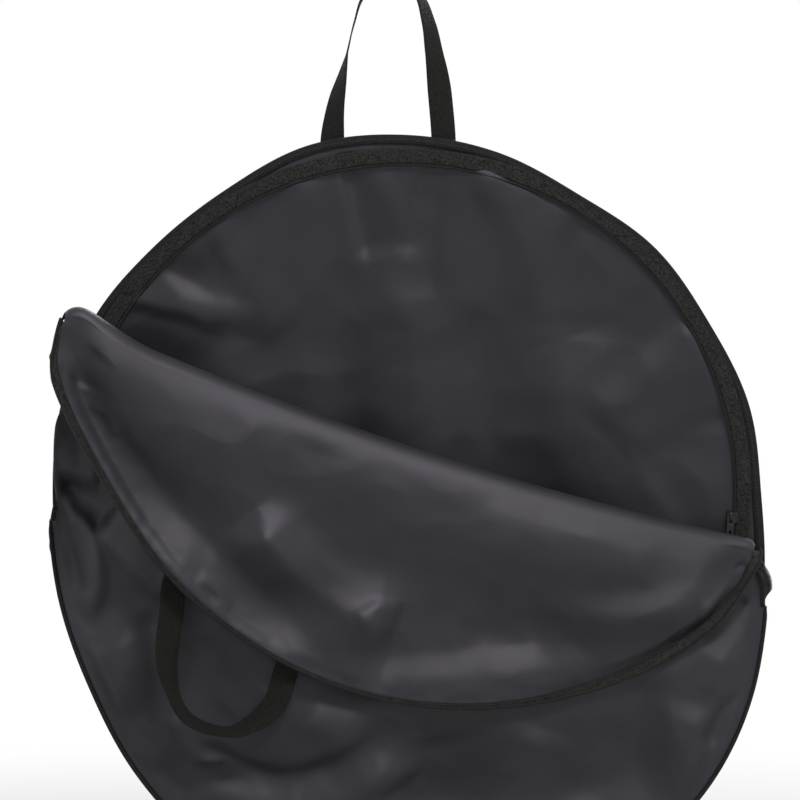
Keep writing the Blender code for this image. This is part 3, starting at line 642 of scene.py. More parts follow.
backPanel = {
    "cells": 200,
    "rimSamples": 241,
    "flat": (0.84, 0.90),
    "area": 0.590,
    "crumple": (0.0030, 0.16, 3.0),
    "creases": (0.0012, 0.07, 8.0),
    "puckerSeed": 4.0,
    "edgeFrom": 0.008,
    "edgeFade": 0.022,
    "folds": [
        (((340, 150), (352, 190), (372, 262)), 0.013, 0.035, -0.0098, 0.5, 0.30),
        (((366, 160), (392, 215), (400, 330)), 0.019, 0.048, 0.0069, 0.0, 0.45),
        (((432, 146), (418, 190), (404, 262)), 0.008, 0.019, -0.0052, 0.3, 0.20),
        (((446, 160), (436, 210), (426, 300)), 0.010, 0.026, -0.0046, -0.3, 0.25),
        (((470, 160), (520, 230), (560, 340)), 0.022, 0.080, 0.0092, 0.3, 0.45),
        (((318, 168), (280, 240), (230, 330)), 0.022, 0.080, 0.0092, -0.3, 0.45),
        (((290, 180), (235, 240), (180, 300)), 0.019, 0.051, -0.0080, 0.3, 0.40),
        (((212, 218), (240, 270), (290, 330)), 0.019, 0.058, 0.0057, 0.4, 0.40),
        (((160, 262), (200, 285), (262, 300)), 0.016, 0.038, -0.0069, 0.4, 0.35),
        (((122, 296), (170, 306), (235, 322)), 0.016, 0.035, 0.0069, 0.4, 0.35),
        (((590, 208), (570, 260), (560, 340)), 0.022, 0.064, -0.0069, 0.2, 0.40),
        (((700, 318), (660, 370), (600, 430)), 0.022, 0.080, 0.0080, 0.4, 0.40),
        (((748, 410), (700, 430), (640, 470)), 0.019, 0.064, -0.0069, 0.4, 0.40),
        (((342, 262), (336, 420), (330, 640)), 0.035, 0.064, -0.0098, 0.2, 0.40),
        (((404, 270), (410, 430), (420, 700)), 0.042, 0.080, 0.0103, -0.2, 0.45),
        (((470, 300), (500, 460), (520, 700)), 0.042, 0.096, -0.0115, 0.2, 0.40),
        (((560, 340), (610, 500), (620, 660)), 0.064, 0.096, 0.0103, 0.2, 0.45),
        (((250, 340), (232, 480), (250, 660)), 0.054, 0.096, 0.0103, -0.2, 0.45),
        (((170, 330), (140, 460), (160, 600)), 0.048, 0.080, -0.0092, -0.2, 0.40),
        (((330, 640), (400, 740), (420, 860)), 0.064, 0.096, 0.0092, 0.2, 0.45),
    ],
}
backRim = rimPoint(np.linspace(-180.0, 180.0, backPanel["rimSamples"]), 0.0, bag["edgeInset"])[:, [0, 2]]
backSwing = joints["bag_swing"]
backRoots = [tuple((bagFrame.inverted() @ (Vector(backSwing["pos_m"]) + Vector((x, 0.0, 0.0)))).xz)
             for x in (-bag["backHandleWidth"] / 2, bag["backHandleWidth"] / 2)]


def backRelief(places):
    def height(spots):
        edge = distanceTo(spots, backRim)
        rough = unevenness(spots, backPanel)
        folds = foldField(spots, backPanel["folds"], bagSpot)
        calm = ease((edge - backPanel["edgeFrom"]) / backPanel["edgeFade"])
        return (folds + rough) * calm + puckers(spots, edge, backPanel["puckerSeed"])

    return levelled(places, backRoots, height)


def backPlace(u, v):
    # The square cut's corners are drawn in to the round.
    a, b = 2 * u - 1, 2 * v - 1
    x, z = a * np.sqrt(1 - b * b / 2), b * np.sqrt(1 - a * a / 2)
    angle, reach = np.degrees(np.arctan2(z, x)), np.hypot(x, z)
    points = backSurface(angle, reach)
    points[:, 1] -= backRelief(points[:, [0, 2]])
    return placed(bagFrame, points)


backCloth = clothGrid("backPanelCloth", backPanel["cells"], backPanel["cells"], backPlace,
                      backPanel["flat"], clothMaterial)
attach(backCloth, "bag")
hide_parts("back_panel")
print("stage: back panel")


# Front panel below the fold

frontPanel = {
    "columns": 250,
    "rows": 170,
    "edgeSamples": 200,
    "flat": (0.86, 0.66),
    "area": 0.405,
    "pressed": 0.006,
    "coverPower": 1.6,
    "coverFade": 0.22,
    "topFade": 0.125,
    "crumple": (0.0040, 0.15, 11.0),
    "creases": (0.0020, 0.06, 5.0),
    "puckerSeed": 7.0,
    "edgeFrom": 0.006,
    "edgeFade": 0.022,
    "folds": [
        (((380, 790), (480, 786), (590, 776), (680, 742)), 0.090, 0.090, -0.0330, 0.10, 0.30),
        (((64, 616), (120, 600), (180, 590)), 0.036, 0.046, -0.0150, 0.1, 0.25),
        (((52, 440), (72, 462), (104, 470)), 0.016, 0.032, 0.0128, 0.3, 0.35),
        (((54, 478), (84, 492), (116, 512)), 0.013, 0.032, -0.0128, 0.3, 0.30),
        (((56, 500), (92, 528), (100, 580), (84, 620)), 0.016, 0.026, 0.0157, -0.4, 0.30),
        (((58, 548), (72, 566), (80, 590)), 0.016, 0.019, -0.0110, 0.3, 0.35),
        (((100, 520), (140, 552), (176, 585)), 0.029, 0.042, 0.0165, 0.4, 0.35),
        (((84, 640), (118, 690), (150, 770)), 0.038, 0.064, 0.0184, 0.3, 0.45),
        (((196, 620), (190, 690), (212, 760)), 0.026, 0.042, -0.0184, 0.3, 0.35),
        (((150, 600), (158, 660), (160, 720)), 0.022, 0.032, -0.0147, -0.2, 0.40),
        (((196, 738), (290, 766), (360, 738), (392, 704)), 0.026, 0.029, -0.0202, -0.3, 0.30),
        (((300, 700), (340, 720), (380, 790)), 0.032, 0.054, 0.0184, 0.3, 0.40),
        (((440, 720), (450, 760), (430, 830)), 0.048, 0.080, -0.0147, 0.0, 0.45),
        (((540, 716), (520, 770), (500, 840)), 0.042, 0.064, 0.0147, 0.2, 0.40),
        (((704, 700), (684, 745), (652, 830)), 0.034, 0.050, 0.0130, -0.35, 0.20),
        (((650, 660), (620, 730), (585, 810)), 0.038, 0.058, -0.0090, -0.2, 0.45),
        (((752, 596), (724, 610), (690, 628)), 0.011, 0.019, -0.0110, 0.3, 0.25),
        (((758, 622), (728, 650), (706, 690)), 0.016, 0.029, 0.0050, 0.3, 0.35),
        (((752, 690), (730, 700), (700, 740)), 0.013, 0.026, -0.0074, 0.3, 0.30),
        (((110, 700), (150, 740), (180, 800)), 0.022, 0.035, -0.0110, 0.3, 0.35),
        (((300, 800), (420, 830), (560, 815)), 0.042, 0.042, 0.0128, 0.0, 0.45),
    ],
}
frontEdgeShares = np.linspace(0, 1, frontPanel["edgeSamples"])
frontEdge = frontSurface(frontEdgeShares, np.ones_like(frontEdgeShares))[:, [0, 2]]


def underFlap(places):
    # 0 where the front panel shows, 1 well under the flap.
    x, z = places.T
    spots = placed(foldInBag.inverted(), np.stack([x, foldInBag.translation.y + 0 * x, z], axis=-1))
    across, down = np.abs(spots[:, 0]) / bag["flapHalf"], np.abs(spots[:, 1]) / bag["flapDrop"]
    return ease((1 - across ** 2 - down ** frontPanel["coverPower"]) / frontPanel["coverFade"])


def frontPlace(u, v):
    points = frontShape(u, v)
    places = points[:, [0, 2]]
    edge = distanceTo(places, frontEdge)
    height = foldField(settledInBag(points)[:, [0, 2]], frontPanel["folds"], bagSpot)
    height += unevenness(places, frontPanel)
    covered = underFlap(places)
    calm = ease((edge - frontPanel["edgeFrom"]) / frontPanel["edgeFade"])
    relief = height * calm * (1 - covered) - frontPanel["pressed"] * covered
    points[:, 1] -= relief * ease(v / frontPanel["topFade"]) + puckers(places, edge, frontPanel["puckerSeed"])
    return placed(bagFrame, settledInBag(points))


frontCloth = clothGrid("frontPanelCloth", frontPanel["columns"], frontPanel["rows"], frontPlace,
                       frontPanel["flat"], clothMaterial)
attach(frontCloth, "bag")
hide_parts("front_panel")
print("stage: front panel")


# Flap: the same cloth, over the roll at the fold and down in front

flap = {
    "columns": 280,
    "rollRows": 16,
    "rows": 110,
    "edgeSamples": 240,
    "flat": (0.84, 0.35),
    "area": 0.215,
    "rollTop": 0.01075,
    "crestDrop": 0.072,
    "crestLevel": 0.0335,
    "crestFade": 0.115,
    "crestSides": 0.060,
    "crestEdgeFrom": 0.006,
    "crestEdgeFade": 0.050,
    "rollFade": 0.030,
    "crumple": (0.0022, 0.13, 21.0),
    "creases": (0.0009, 0.055, 17.0),
    "puckerSeed": 9.0,
    "edgeFrom": 0.004,
    "edgeFade": 0.016,
    "folds": [
        (((76, 350), (126, 428), (180, 500), (244, 566), (312, 626)), 0.040, 0.052, -0.0200, -0.10, 0.22),
        (((330, 636), (380, 638), (450, 636), (540, 632), (612, 628)), 0.058, 0.050, -0.0130, 0.42, 0.35),
        (((246, 500), (292, 556), (340, 596), (396, 618)), 0.046, 0.058, 0.0270, -0.10, 0.15),
        (((352, 604), (374, 592), (402, 592)), 0.016, 0.012, 0.0050, -0.3, 0.25),
        (((468, 618), (520, 624), (572, 612)), 0.034, 0.034, -0.0060, 0.3, 0.5),
        (((536, 604), (600, 609), (664, 609), (738, 594)), 0.048, 0.044, 0.0190, -0.25, 0.30),
        (((660, 636), (684, 630), (702, 624)), 0.010, 0.010, -0.0030, 0.2, 0.25),
        (((700, 612), (716, 600), (734, 594)), 0.012, 0.012, 0.0040, 0.2, 0.25),
        (((740, 556), (750, 566), (748, 582)), 0.010, 0.010, -0.0050, 0.0, 0.25),
        (((240, 430), (330, 500), (440, 560)), 0.060, 0.090, -0.0060, 0.2, 0.5),
        (((470, 520), (560, 548), (660, 560)), 0.050, 0.070, 0.0050, 0.2, 0.5),
        (((196, 562), (216, 574), (226, 596)), 0.012, 0.012, 0.0040, 0.0, 0.25),
        (((92, 388), (110, 400), (120, 424)), 0.012, 0.012, 0.0034, 0.2, 0.25),
        (((104, 336), (90, 352), (82, 374)), 0.020, 0.020, -0.0060, 0.2, 0.25),
    ],
}
flapEdgeShares = np.linspace(0, 1, flap["edgeSamples"])
flapEdge = flapSurface(flapEdgeShares, np.ones_like(flapEdgeShares))[:, :2]
frontSwing = joints["front_handle_swing"]
flapRoots = [tuple(foldFrame.inverted() @ (Vector(frontSwing["pos_m"]) + foldAlong * t))[:2]
             for t in (0.0, bag["frontHandleWidth"])]


def flapCrest(places, level):
    # From the top of the roll out to a soft crest below it, and gently back to the hanging cloth.
    t, n = places[:, 0], places[:, 1]
    edge = distanceTo(places, flapEdge)
    upper = np.clip((n + flap["crestDrop"]) / (flap["rollTop"] + flap["crestDrop"]), 0, 1)
    crest = flap["crestLevel"] * np.sqrt(1 - upper ** 2)
    fade = 1 - ease((-n - flap["crestDrop"]) / flap["crestFade"])
    sides = ease((bag["foldHalf"] - np.abs(t)) / flap["crestSides"])
    hanging = np.where(n > 0, 1.0, ease((edge - flap["crestEdgeFrom"]) / flap["crestEdgeFade"]))
    return (crest - level) * fade * sides * hanging


def flapRelief(places):
    def height(spots):
        edge = distanceTo(spots, flapEdge)
        rough = unevenness(spots, flap)
        calm = ease(-spots[:, 1] / flap["rollFade"]) * ease((edge - flap["edgeFrom"]) / flap["edgeFade"])
        hanging = settled(np.column_stack([spots, 0 * edge]))[:, :2]
        folds = foldField(hanging, flap["folds"], flapSpot)
        return (folds + rough) * calm + puckers(spots, edge, flap["puckerSeed"])

    return levelled(places, flapRoots, height)


def flapSheet(u, v):
    # v runs over the roll for its first part, then down the flap to its edge.
    rollShare = flap["rollRows"] / (flap["rollRows"] + flap["rows"])
    beta = 180.0 * np.clip(v / rollShare, 0, 1)
    radius = bag["rollRadius"] + (bag["flapRadius"] - bag["rollRadius"]) * beta / 180.0
    endShare = 1 - (1 - bag["flapTopShare"]) * beta / 180.0
    rolled = rollPoint((2 * u - 1) * bag["foldHalf"] * endShare, beta, radius)
    down = np.clip((v - rollShare) / (1 - rollShare), 0, 1)
    hung = flapSurface(u, down)
    points = np.where((v < rollShare)[:, None], rolled, hung)
    places = points[:, :2]
    points[:, 2] += np.where(beta > 90.0, flapCrest(places, points[:, 2]), 0.0) + flapRelief(places)
    return settled(points)


def flapPlace(u, v):
    return placed(foldFrame, flapSheet(u, v))


flapCloth = clothGrid("flapCloth", flap["columns"], flap["rollRows"] + flap["rows"], flapPlace,
                      flap["flat"], clothMaterial)
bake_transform(flapCloth)
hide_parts("flap_panel")
print("stage: flap")


# Gusset: the strip between the two panels round the lower half

gusset = {"columns": 300, "rows": 24, "flat": (1.50, 0.11), "area": 0.100, "endGap": 0.05,
          "crumple": (0.004, 0.10, 31.0), "degreesPerStep": 60.0, "depthPerStep": 0.25}
lowerHalf = (bag["zipFinish"] - 360.0 + gusset["endGap"], bag["zipStart"] - gusset["endGap"])


def gussetPlace(u, v):
    angle = lowerHalf[0] + (lowerHalf[1] - lowerHalf[0]) * u
    depth = -frontEdgeY(angle) + bag["cloth"]
    y = bag["cloth"] / 2 - depth * v
    places = np.stack([angle / gusset["degreesPerStep"], y / gusset["depthPerStep"]], axis=-1)
    bulge = (bag["gussetBulge"] + crumple(places, *gusset["crumple"])) * np.sin(math.pi * v)
    points = rimPoint(angle, 0 * y, bag["cloth"] / 2 - bulge)
    points[:, 1] = y
    return placed(bagFrame, points)


gussetCloth = clothGrid("gussetCloth", gusset["columns"], gusset["rows"], gussetPlace, gusset["flat"],
                        clothMaterial)
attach(gussetCloth, "bag")
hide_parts("gusset")
print("stage: gusset")


# Piping in the gusset's two seams

piping = {"radius": 0.0026, "sides": 12, "spacing": 0.005, "seat": -0.0008, "samples": 400,
          "endShare": 0.35, "endLength": 0.014}


def roundSection(radius, sides):
    return [(radius * math.cos(math.tau * i / sides), radius * math.sin(math.tau * i / sides))
            for i in range(sides)]


def pipingPath(front):
    angles = np.linspace(*lowerHalf, piping["samples"])
    y = frontEdgeY(angles) if front else 0 * angles
    return resampled(*ringPath(rimPoint(angles, y, piping["seat"]), angles), piping["spacing"])


pipingLook = {**bindingLook, "light": (0.016, 0.016, 0.017), "roughness": 0.7}
pipingMaterial = makeWovenMaterial("pipingCord", pipingLook)
for side, isFront in (("back", False), ("front", True)):
    path = pipingPath(isFront)
    lengths = runningLength(path[0])
    nearEnd = ease(np.minimum(lengths, lengths[-1] - lengths) / piping["endLength"])
    taper = piping["endShare"] + (1 - piping["endShare"]) * nearEnd
    sections = [roundSection(piping["radius"] * share, piping["sides"]) for share in taper]
    cord = sweep(side + "PipingCord", path, sections, pipingMaterial)
    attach(cord, "bag")
    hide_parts(side + "_piping")
print("stage: piping")


# Binding, tape, coil and stitches round both sides of the mouth

trim = {
    "samples": 500,
    "spacing": 0.004,
    "backLeg": 0.0100,
    "bindingInner": 0.0010,
    "bindingOuter": 0.0020,
    "bindingFootShare": 0.92,
    "bindingMiddleShare": 1.04,
    "noseAngles": (-75.0, -50.0, -25.0, 0.0, 25.0, 50.0, 75.0),
    "nose": 0.0013,
    "slotEnd": 0.0003,
    "slotShare": 0.9,
    "backStitchAt": -0.0042,
    "frontStitchAt": -0.0030,
    "tapeLevel": 0.0028,
    "tapeThickness": 0.0010,
    "tapeInner": -0.0035,
    "tapeOuter": 0.0080,
    "tapeColumns": 9,
    "backTapeWidth": 0.0170,
    "backTapeOuter": -0.0052,
    "coilRadius": 0.0015,
    "coilPitch": 0.0014,
    "coilSteps": 8,
    "coilGap": 0.0003,
    "coilEndGap": 1.2,
    "wireRadius": 0.00052,
    "wireSides": 5,
}
frontMouth = {
    "flapStations": (0.0, 0.04, 0.12, 0.30, 0.50, 0.66, 0.76, 0.84, 0.93, 1.0),
    "flapTurns": (100.0, 45.0, 60.0, 110.0, 120.0, 100.0, 62.0, 28.0, 24.0, 110.0),
    "flapLegs": (0.0040, 0.0046, 0.0044, 0.0040, 0.0042, 0.0052, 0.0068, 0.0084, 0.0080, 0.0050),
    "leg": 0.0040,
    "leftTurn": 165.0,
    "rollTurn": 100.0,
    "rightTurn": 22.0,
    "endTurn": 170.0,
    "endLength": 0.020,
    "leftGap": 2.5,
    "rightGap": 1.0,
    "flapGap": 0.02,
    "leftSamples": 40,
    "rollSamples": 9,
    "flapSamples": 260,
    "rightSamples": 12,
    "step": 0.0025,
    "rounding": 6,
}
stitchPattern = {"pitch": 0.0042, "length": 0.0032, "radius": 0.00032}


def backMouthPath():
    angles = np.linspace(bag["zipStart"], bag["zipFinish"], trim["samples"])
    return resampled(*ringPath(rimPoint(angles, 0.0, bag["edgeInset"]), angles), trim["spacing"])


def edgeFrames(surface, u, matrix, towards):
    # Along a surface's lower edge: points, ways out of the cloth, and normals on the side of `towards`.
    step, edge = frontMouth["step"], np.ones_like(u)
    here = surface(u, edge)
    along = surface(np.clip(u + step, 0, 1), edge) - surface(np.clip(u - step, 0, 1), edge)
    outward = here - surface(u, edge - 3 * step)
    normal = turned(matrix, np.cross(along, outward))
    normal = normal * np.sign(normal @ towards)[:, None]
    return placed(matrix, here), unitRows(turned(matrix, outward)), unitRows(normal)


def frontMouthPath():
    # Along the front's mouth from left to right, with the tape's turn and the binding's leg at each station.
    towardsBack = turned(bagFrame, np.array([0.0, 1.0, 0.0]))
    towardsViewer = turned(foldFrame, np.array([0.0, 0.0, 1.0]))
    stretches = []

    def addStretch(frames, turn, leg):
        flat = np.zeros(len(frames[0]))
        stretches.append((*frames, np.stack([turn + flat, leg + flat], axis=-1)))

    def hungFront(u, v):
        return settledInBag(frontShape(u, v))

    def addSide(angles, turn):
        u = (angles - bag["frontLeft"]) / (bag["frontRight"] - bag["frontLeft"])
        addStretch(edgeFrames(hungFront, u, bagFrame, towardsBack), turn, frontMouth["leg"])

    def addRoll(side, betas, turn):
        points = settled(rollPoint(side * bag["foldHalf"] + 0 * betas, betas, bag["rollRadius"]))
        outward = np.tile((float(side), 0.0, 0.0), (len(betas), 1))
        normal = rollPoint(0.0, betas, 1.0)
        frames = placed(foldFrame, points), turned(foldFrame, outward), turned(foldFrame, normal)
        addStretch(frames, turn, frontMouth["leg"])

    leftEnds = bag["zipFinish"] - 360.0, bag["frontLeft"] + frontMouth["leftGap"]
    addSide(np.linspace(*leftEnds, frontMouth["leftSamples"]), frontMouth["leftTurn"])
    rollAngles = np.linspace(0.0, 180.0, frontMouth["rollSamples"])
    addRoll(-1, rollAngles, frontMouth["rollTurn"])
    u = np.linspace(frontMouth["flapGap"], 1 - frontMouth["flapGap"], frontMouth["flapSamples"])
    turns = np.interp(u, frontMouth["flapStations"], frontMouth["flapTurns"])
    legs = np.interp(u, frontMouth["flapStations"], frontMouth["flapLegs"])
    addStretch(edgeFrames(flapSheet, u, foldFrame, towardsViewer), turns, legs)
    addRoll(1, rollAngles[::-1], frontMouth["rightTurn"])
    rightEnds = bag["frontRight"] - frontMouth["rightGap"], bag["zipStart"]
    addSide(np.linspace(*rightEnds, frontMouth["rightSamples"]), frontMouth["rightTurn"])
    points, outward, normal, extra = [np.concatenate(parts) for parts in zip(*stretches)]
    points, outward, normal, extra = resampled(points, outward, normal, trim["spacing"],
                                               frontMouth["rounding"], extra)
    lengths = runningLength(points)
    nearEnd = 1 - ease(np.minimum(lengths, lengths[-1] - lengths) / frontMouth["endLength"])
    turns = extra[:, 0] + (frontMouth["endTurn"] - extra[:, 0]) * nearEnd
    return points, outward, normal, turns, extra[:, 1]


def bindingSection(leg):
    # From the inner foot round the nose to the outer foot, and back along the slot that holds the cloth.
    outer, inner = trim["bindingOuter"], trim["bindingInner"]
    foot, middle = outer * trim["bindingFootShare"], outer * trim["bindingMiddleShare"]
    slotEnd, slotHalf = trim["slotEnd"], inner * trim["slotShare"]
    nose = [(trim["nose"] * math.cos(turn), outer * math.sin(turn))
            for turn in np.radians(trim["noseAngles"])]
    return ([(-leg, -foot), (-leg / 2, -middle)] + nose + [(-leg / 2, middle), (-leg, foot), (-leg, inner),
            (slotEnd, slotHalf), (slotEnd, -slotHalf), (-leg, -inner)])


def tapeSection(inner, outer):
    low = trim["tapeLevel"] - trim["tapeThickness"] / 2
    high = low + trim["tapeThickness"]
    across = np.linspace(inner, outer, trim["tapeColumns"])
    return [(o, low) for o in across] + [(o, high) for o in across[::-1]]


def curled(o, h, turns):
    # Where a point of the tape's flat section goes when the tape past the cloth's edge bends inwards.
    bend = np.radians(turns) / trim["tapeOuter"] + 1e-6
    theta = bend * np.maximum(o, 0.0)
    return (np.minimum(o, 0.0) + np.sin(theta) / bend - h * np.sin(theta),
            (1 - np.cos(theta)) / bend + h * np.cos(theta), theta)


def curledSection(section, turns):
    flat = np.array(section)
    return np.stack(curled(flat[None, :, 0], flat[None, :, 1], turns[:, None])[:2], axis=-1)


def coilPath(path, centre):
    # A wire wound round a line at `centre` of the path, as frames for a thin round section.
    lengths = runningLength(path[0])
    count = int(lengths[-1] / trim["coilPitch"]) * trim["coilSteps"]
    marks = np.linspace(0.0, lengths[-1], count)
    points, outward, normal = [rowsAt(marks, lengths, field) for field in path[:3]]
    turns = np.interp(marks, lengths, path[3]) if len(path) > 3 else np.zeros(count)
    level = trim["tapeLevel"] + trim["coilRadius"] - trim["tapeThickness"] / 2
    o, h, theta = [field[:, None] for field in curled(centre + 0 * turns, level + 0 * turns, turns)]
    away = outward * np.cos(theta) + normal * np.sin(theta)
    raised = normal * np.cos(theta) - outward * np.sin(theta)
    winding = (np.arange(count) * math.tau / trim["coilSteps"])[:, None]
    radial = away * np.cos(winding) + raised * np.sin(winding)
    wire = points + outward * o + normal * h + radial * (trim["coilRadius"] - trim["wireRadius"])
    along = unitRows(np.gradient(wire, axis=0))
    radial = unitRows(radial - along * np.sum(radial * along, axis=1)[:, None])
    return wire, radial, np.cross(along, radial)


wireSection = roundSection(trim["wireRadius"], trim["wireSides"])
backPath = backMouthPath()
backBinding = sweep("backBindingTape", backPath, bindingSection(trim["backLeg"]), bindingMaterial)
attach(backBinding, "bag")
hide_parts("back_binding")

# The back's tape runs from the coil's circle out to the binding, or as far as its full width reaches
reach = np.linalg.norm(backPath[0] - np.array(bagFrame)[:3, 3], axis=1)
innerEdge = bag["coilCircle"] + trim["coilRadius"] + trim["coilGap"] - reach
backTapeSection = [tapeSection(inner, min(trim["backTapeOuter"], inner + trim["backTapeWidth"]))
                   for inner in innerEdge]
backTape = sweep("backZipTape", backPath, backTapeSection, tapeMaterial)
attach(backTape, "bag")
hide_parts("back_zip_tape")

coilEnds = bag["zipStart"] + trim["coilEndGap"], bag["zipFinish"] - trim["coilEndGap"]
coilAngles = np.linspace(*coilEnds, trim["samples"])
circlePath = ringPath(outwardAt(coilAngles) * bag["coilCircle"], coilAngles)
backCoil = sweep("backZipCoil", coilPath(circlePath, 0.0), wireSection, coilMaterial)
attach(backCoil, "bag")
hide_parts("back_zip_coil")
for name, level in (("backInnerStitches", trim["bindingOuter"]),
                    ("backOuterStitches", -trim["bindingOuter"])):
    row = stitchRows(name, [backPath], trim["backStitchAt"], level, stitchPattern, threadMaterial)
    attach(row, "bag")
print("stage: back mouth")

frontPath = frontMouthPath()
frontLegs = [bindingSection(leg) for leg in frontPath[4]]
frontTape = curledSection(tapeSection(trim["tapeInner"], trim["tapeOuter"]), frontPath[3])
frontCoil = coilPath(frontPath, trim["tapeOuter"] + trim["coilRadius"])
frontPieces = [
    (sweep("frontBindingTape", frontPath, frontLegs, bindingMaterial), "binding",
     ("front_binding_left", "front_binding_right", "flap_binding")),
    (sweep("frontZipTape", frontPath, frontTape, tapeMaterial), "zip_tape",
     ("front_zip_tape_left", "front_zip_tape_right", "flap_zip_tape")),
    (sweep("frontZipCoil", frontCoil, wireSection, coilMaterial), "zip_coil",
     ("front_zip_coil_left", "front_zip_coil_right", "flap_zip_coil")),
    (stitchRows("frontInnerStitches", [frontPath], trim["frontStitchAt"], trim["bindingOuter"],
                stitchPattern, threadMaterial), "binding", ()),
    (stitchRows("frontOuterStitches", [frontPath], trim["frontStitchAt"], -trim["bindingOuter"],
                stitchPattern, threadMaterial), "binding", ()),
]
for piece, slot, replaced in frontPieces:
    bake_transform(piece)
    if replaced:
        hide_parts(*replaced)
print("stage: front mouth")


# Webbing handles

webbing = {"width": 0.0275, "thickness": 0.0016, "rings": 150, "round": 0.0008, "columns": 7}
backHandle = {
    "rise": 0.198,
    "shares": ((0.0, 0.0), (0.0, 0.08), (0.036, 0.32), (0.09, 0.475), (0.14, 0.62), (0.198, 0.775),
               (0.29, 0.93), (0.51, 1.0), (0.75, 0.95), (0.865, 0.775), (0.91, 0.62), (0.946, 0.475),
               (0.973, 0.32), (1.0, 0.08), (1.0, 0.0)),
    "twistShares": (0.0, 0.03, 0.10, 0.17, 0.22, 0.27, 0.40, 0.50, 0.60, 0.74, 0.83, 0.94, 1.0),
    "twists": (0.0, 4.0, 32.0, 52.0, 70.0, 86.0, 90.0, 88.0, 64.0, 38.0, 10.0, 2.0, 0.0),
}
frontHandle = {
    "seat": 0.0060,
    "shares": ((0.0, 0.0), (0.0, -0.05), (0.0, -0.10), (0.13, -0.36), (0.37, -0.72), (0.66, -0.89),
               (0.97, -0.78), (1.09, -0.46), (1.0, -0.12), (1.0, -0.06), (1.0, 0.0)),
    "twistShares": (0.0, 0.10, 0.25, 0.42, 0.62, 0.78, 0.92, 1.0),
    "twists": (0.0, 0.0, 10.0, 62.0, 78.0, 30.0, 0.0, 0.0),
}


def loopPath(handle, width, rise, matrix):
    # x along the roots, z up the loop, y the loop's own normal.
    spots = np.array([(width * a, 0.0, rise * b) for a, b in handle["shares"]])
    lengths = runningLength(spots)
    marks = np.linspace(0.0, lengths[-1], webbing["rings"])
    points = rowsAt(marks, lengths, spots, smoothAt)
    twist = np.radians(np.interp(marks / lengths[-1], handle["twistShares"], handle["twists"]))
    along = unitRows(np.gradient(points, axis=0))
    side = np.tile((0.0, 1.0, 0.0), (len(points), 1))
    flat = unitRows(np.cross(along, side))
    wide = flat * np.cos(twist)[:, None] + side * np.sin(twist)[:, None]
    thick = np.cross(along, wide)
    return placed(matrix, points), turned(matrix, wide), turned(matrix, thick)


def webbingSection():
    half, thick = webbing["width"] / 2, webbing["thickness"] / 2
    across = np.linspace(-half + webbing["round"], half - webbing["round"], webbing["columns"])
    return [(-half, 0.0)] + [(o, -thick) for o in across] + [(half, 0.0)] + [(o, thick) for o in across[::-1]]


backLoopStart = Vector(backSwing["pos_m"]) - Vector((bag["backHandleWidth"] / 2, 0.0, 0.0))
backLoopFrame = Matrix.Translation(backLoopStart)
backLoopPath = loopPath(backHandle, bag["backHandleWidth"], backHandle["rise"], backLoopFrame)
backLoop = sweep("backHandleWebbing", backLoopPath, webbingSection(), webbingMaterial)
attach(backLoop, "back_handle")
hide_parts("back_handle")

frontRoot = Vector(frontSwing["pos_m"])
handleAlong = -Vector(frontSwing["axis"]).normalized()
sewnLow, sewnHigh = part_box("front_handle_sewn_end_left"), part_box("front_handle_sewn_end_right")
sewnLeft = (sewnLow[0] + sewnLow[1]) / 2
sewnRight = (sewnHigh[0] + sewnHigh[1]) / 2
spacing = (sewnRight - sewnLeft).length
handleUp = sewnLeft - frontRoot
handleUp = (handleUp - handleAlong * handleUp.dot(handleAlong)).normalized()
handleNormal = handleUp.cross(handleAlong)
frontLoopFrame = Matrix((handleAlong, handleNormal, handleUp)).transposed().to_4x4()
frontLoopFrame.translation = frontRoot + frontHandle["seat"] * handleNormal
frontLoopPath = loopPath(frontHandle, spacing, spacing, frontLoopFrame)
frontLoop = sweep("frontHandleWebbing", frontLoopPath, webbingSection(), webbingMaterial)
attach(frontLoop, "front_handle")
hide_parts("front_handle")
print("stage: handles")


# Metal pieces keep their solids, with their own finish

for name in ("zip_slider", "zip_pull", "zip_bottom_stop", "zip_top_stop"):
    frame["nodes"][name].material_slots[0].material = metalMaterial


# Sewn ends of the handles, which lie on the cloth behind them and are stitched through in a box with a cross

sewnEnd = {"cells": (12, 24), "level": 0.0030, "boxInset": 0.0035, "boxFoot": 0.006, "boxHead": 0.004,
           "step": 0.001, "threadRise": 0.0001, "seamSamples": 12}
boxStitch = {"pitch": 0.0036, "length": 0.0028, "radius": 0.00034}


def sewnName(node):
    first, *others = node.split("_")
    return first + "".join(word.capitalize() for word in others)


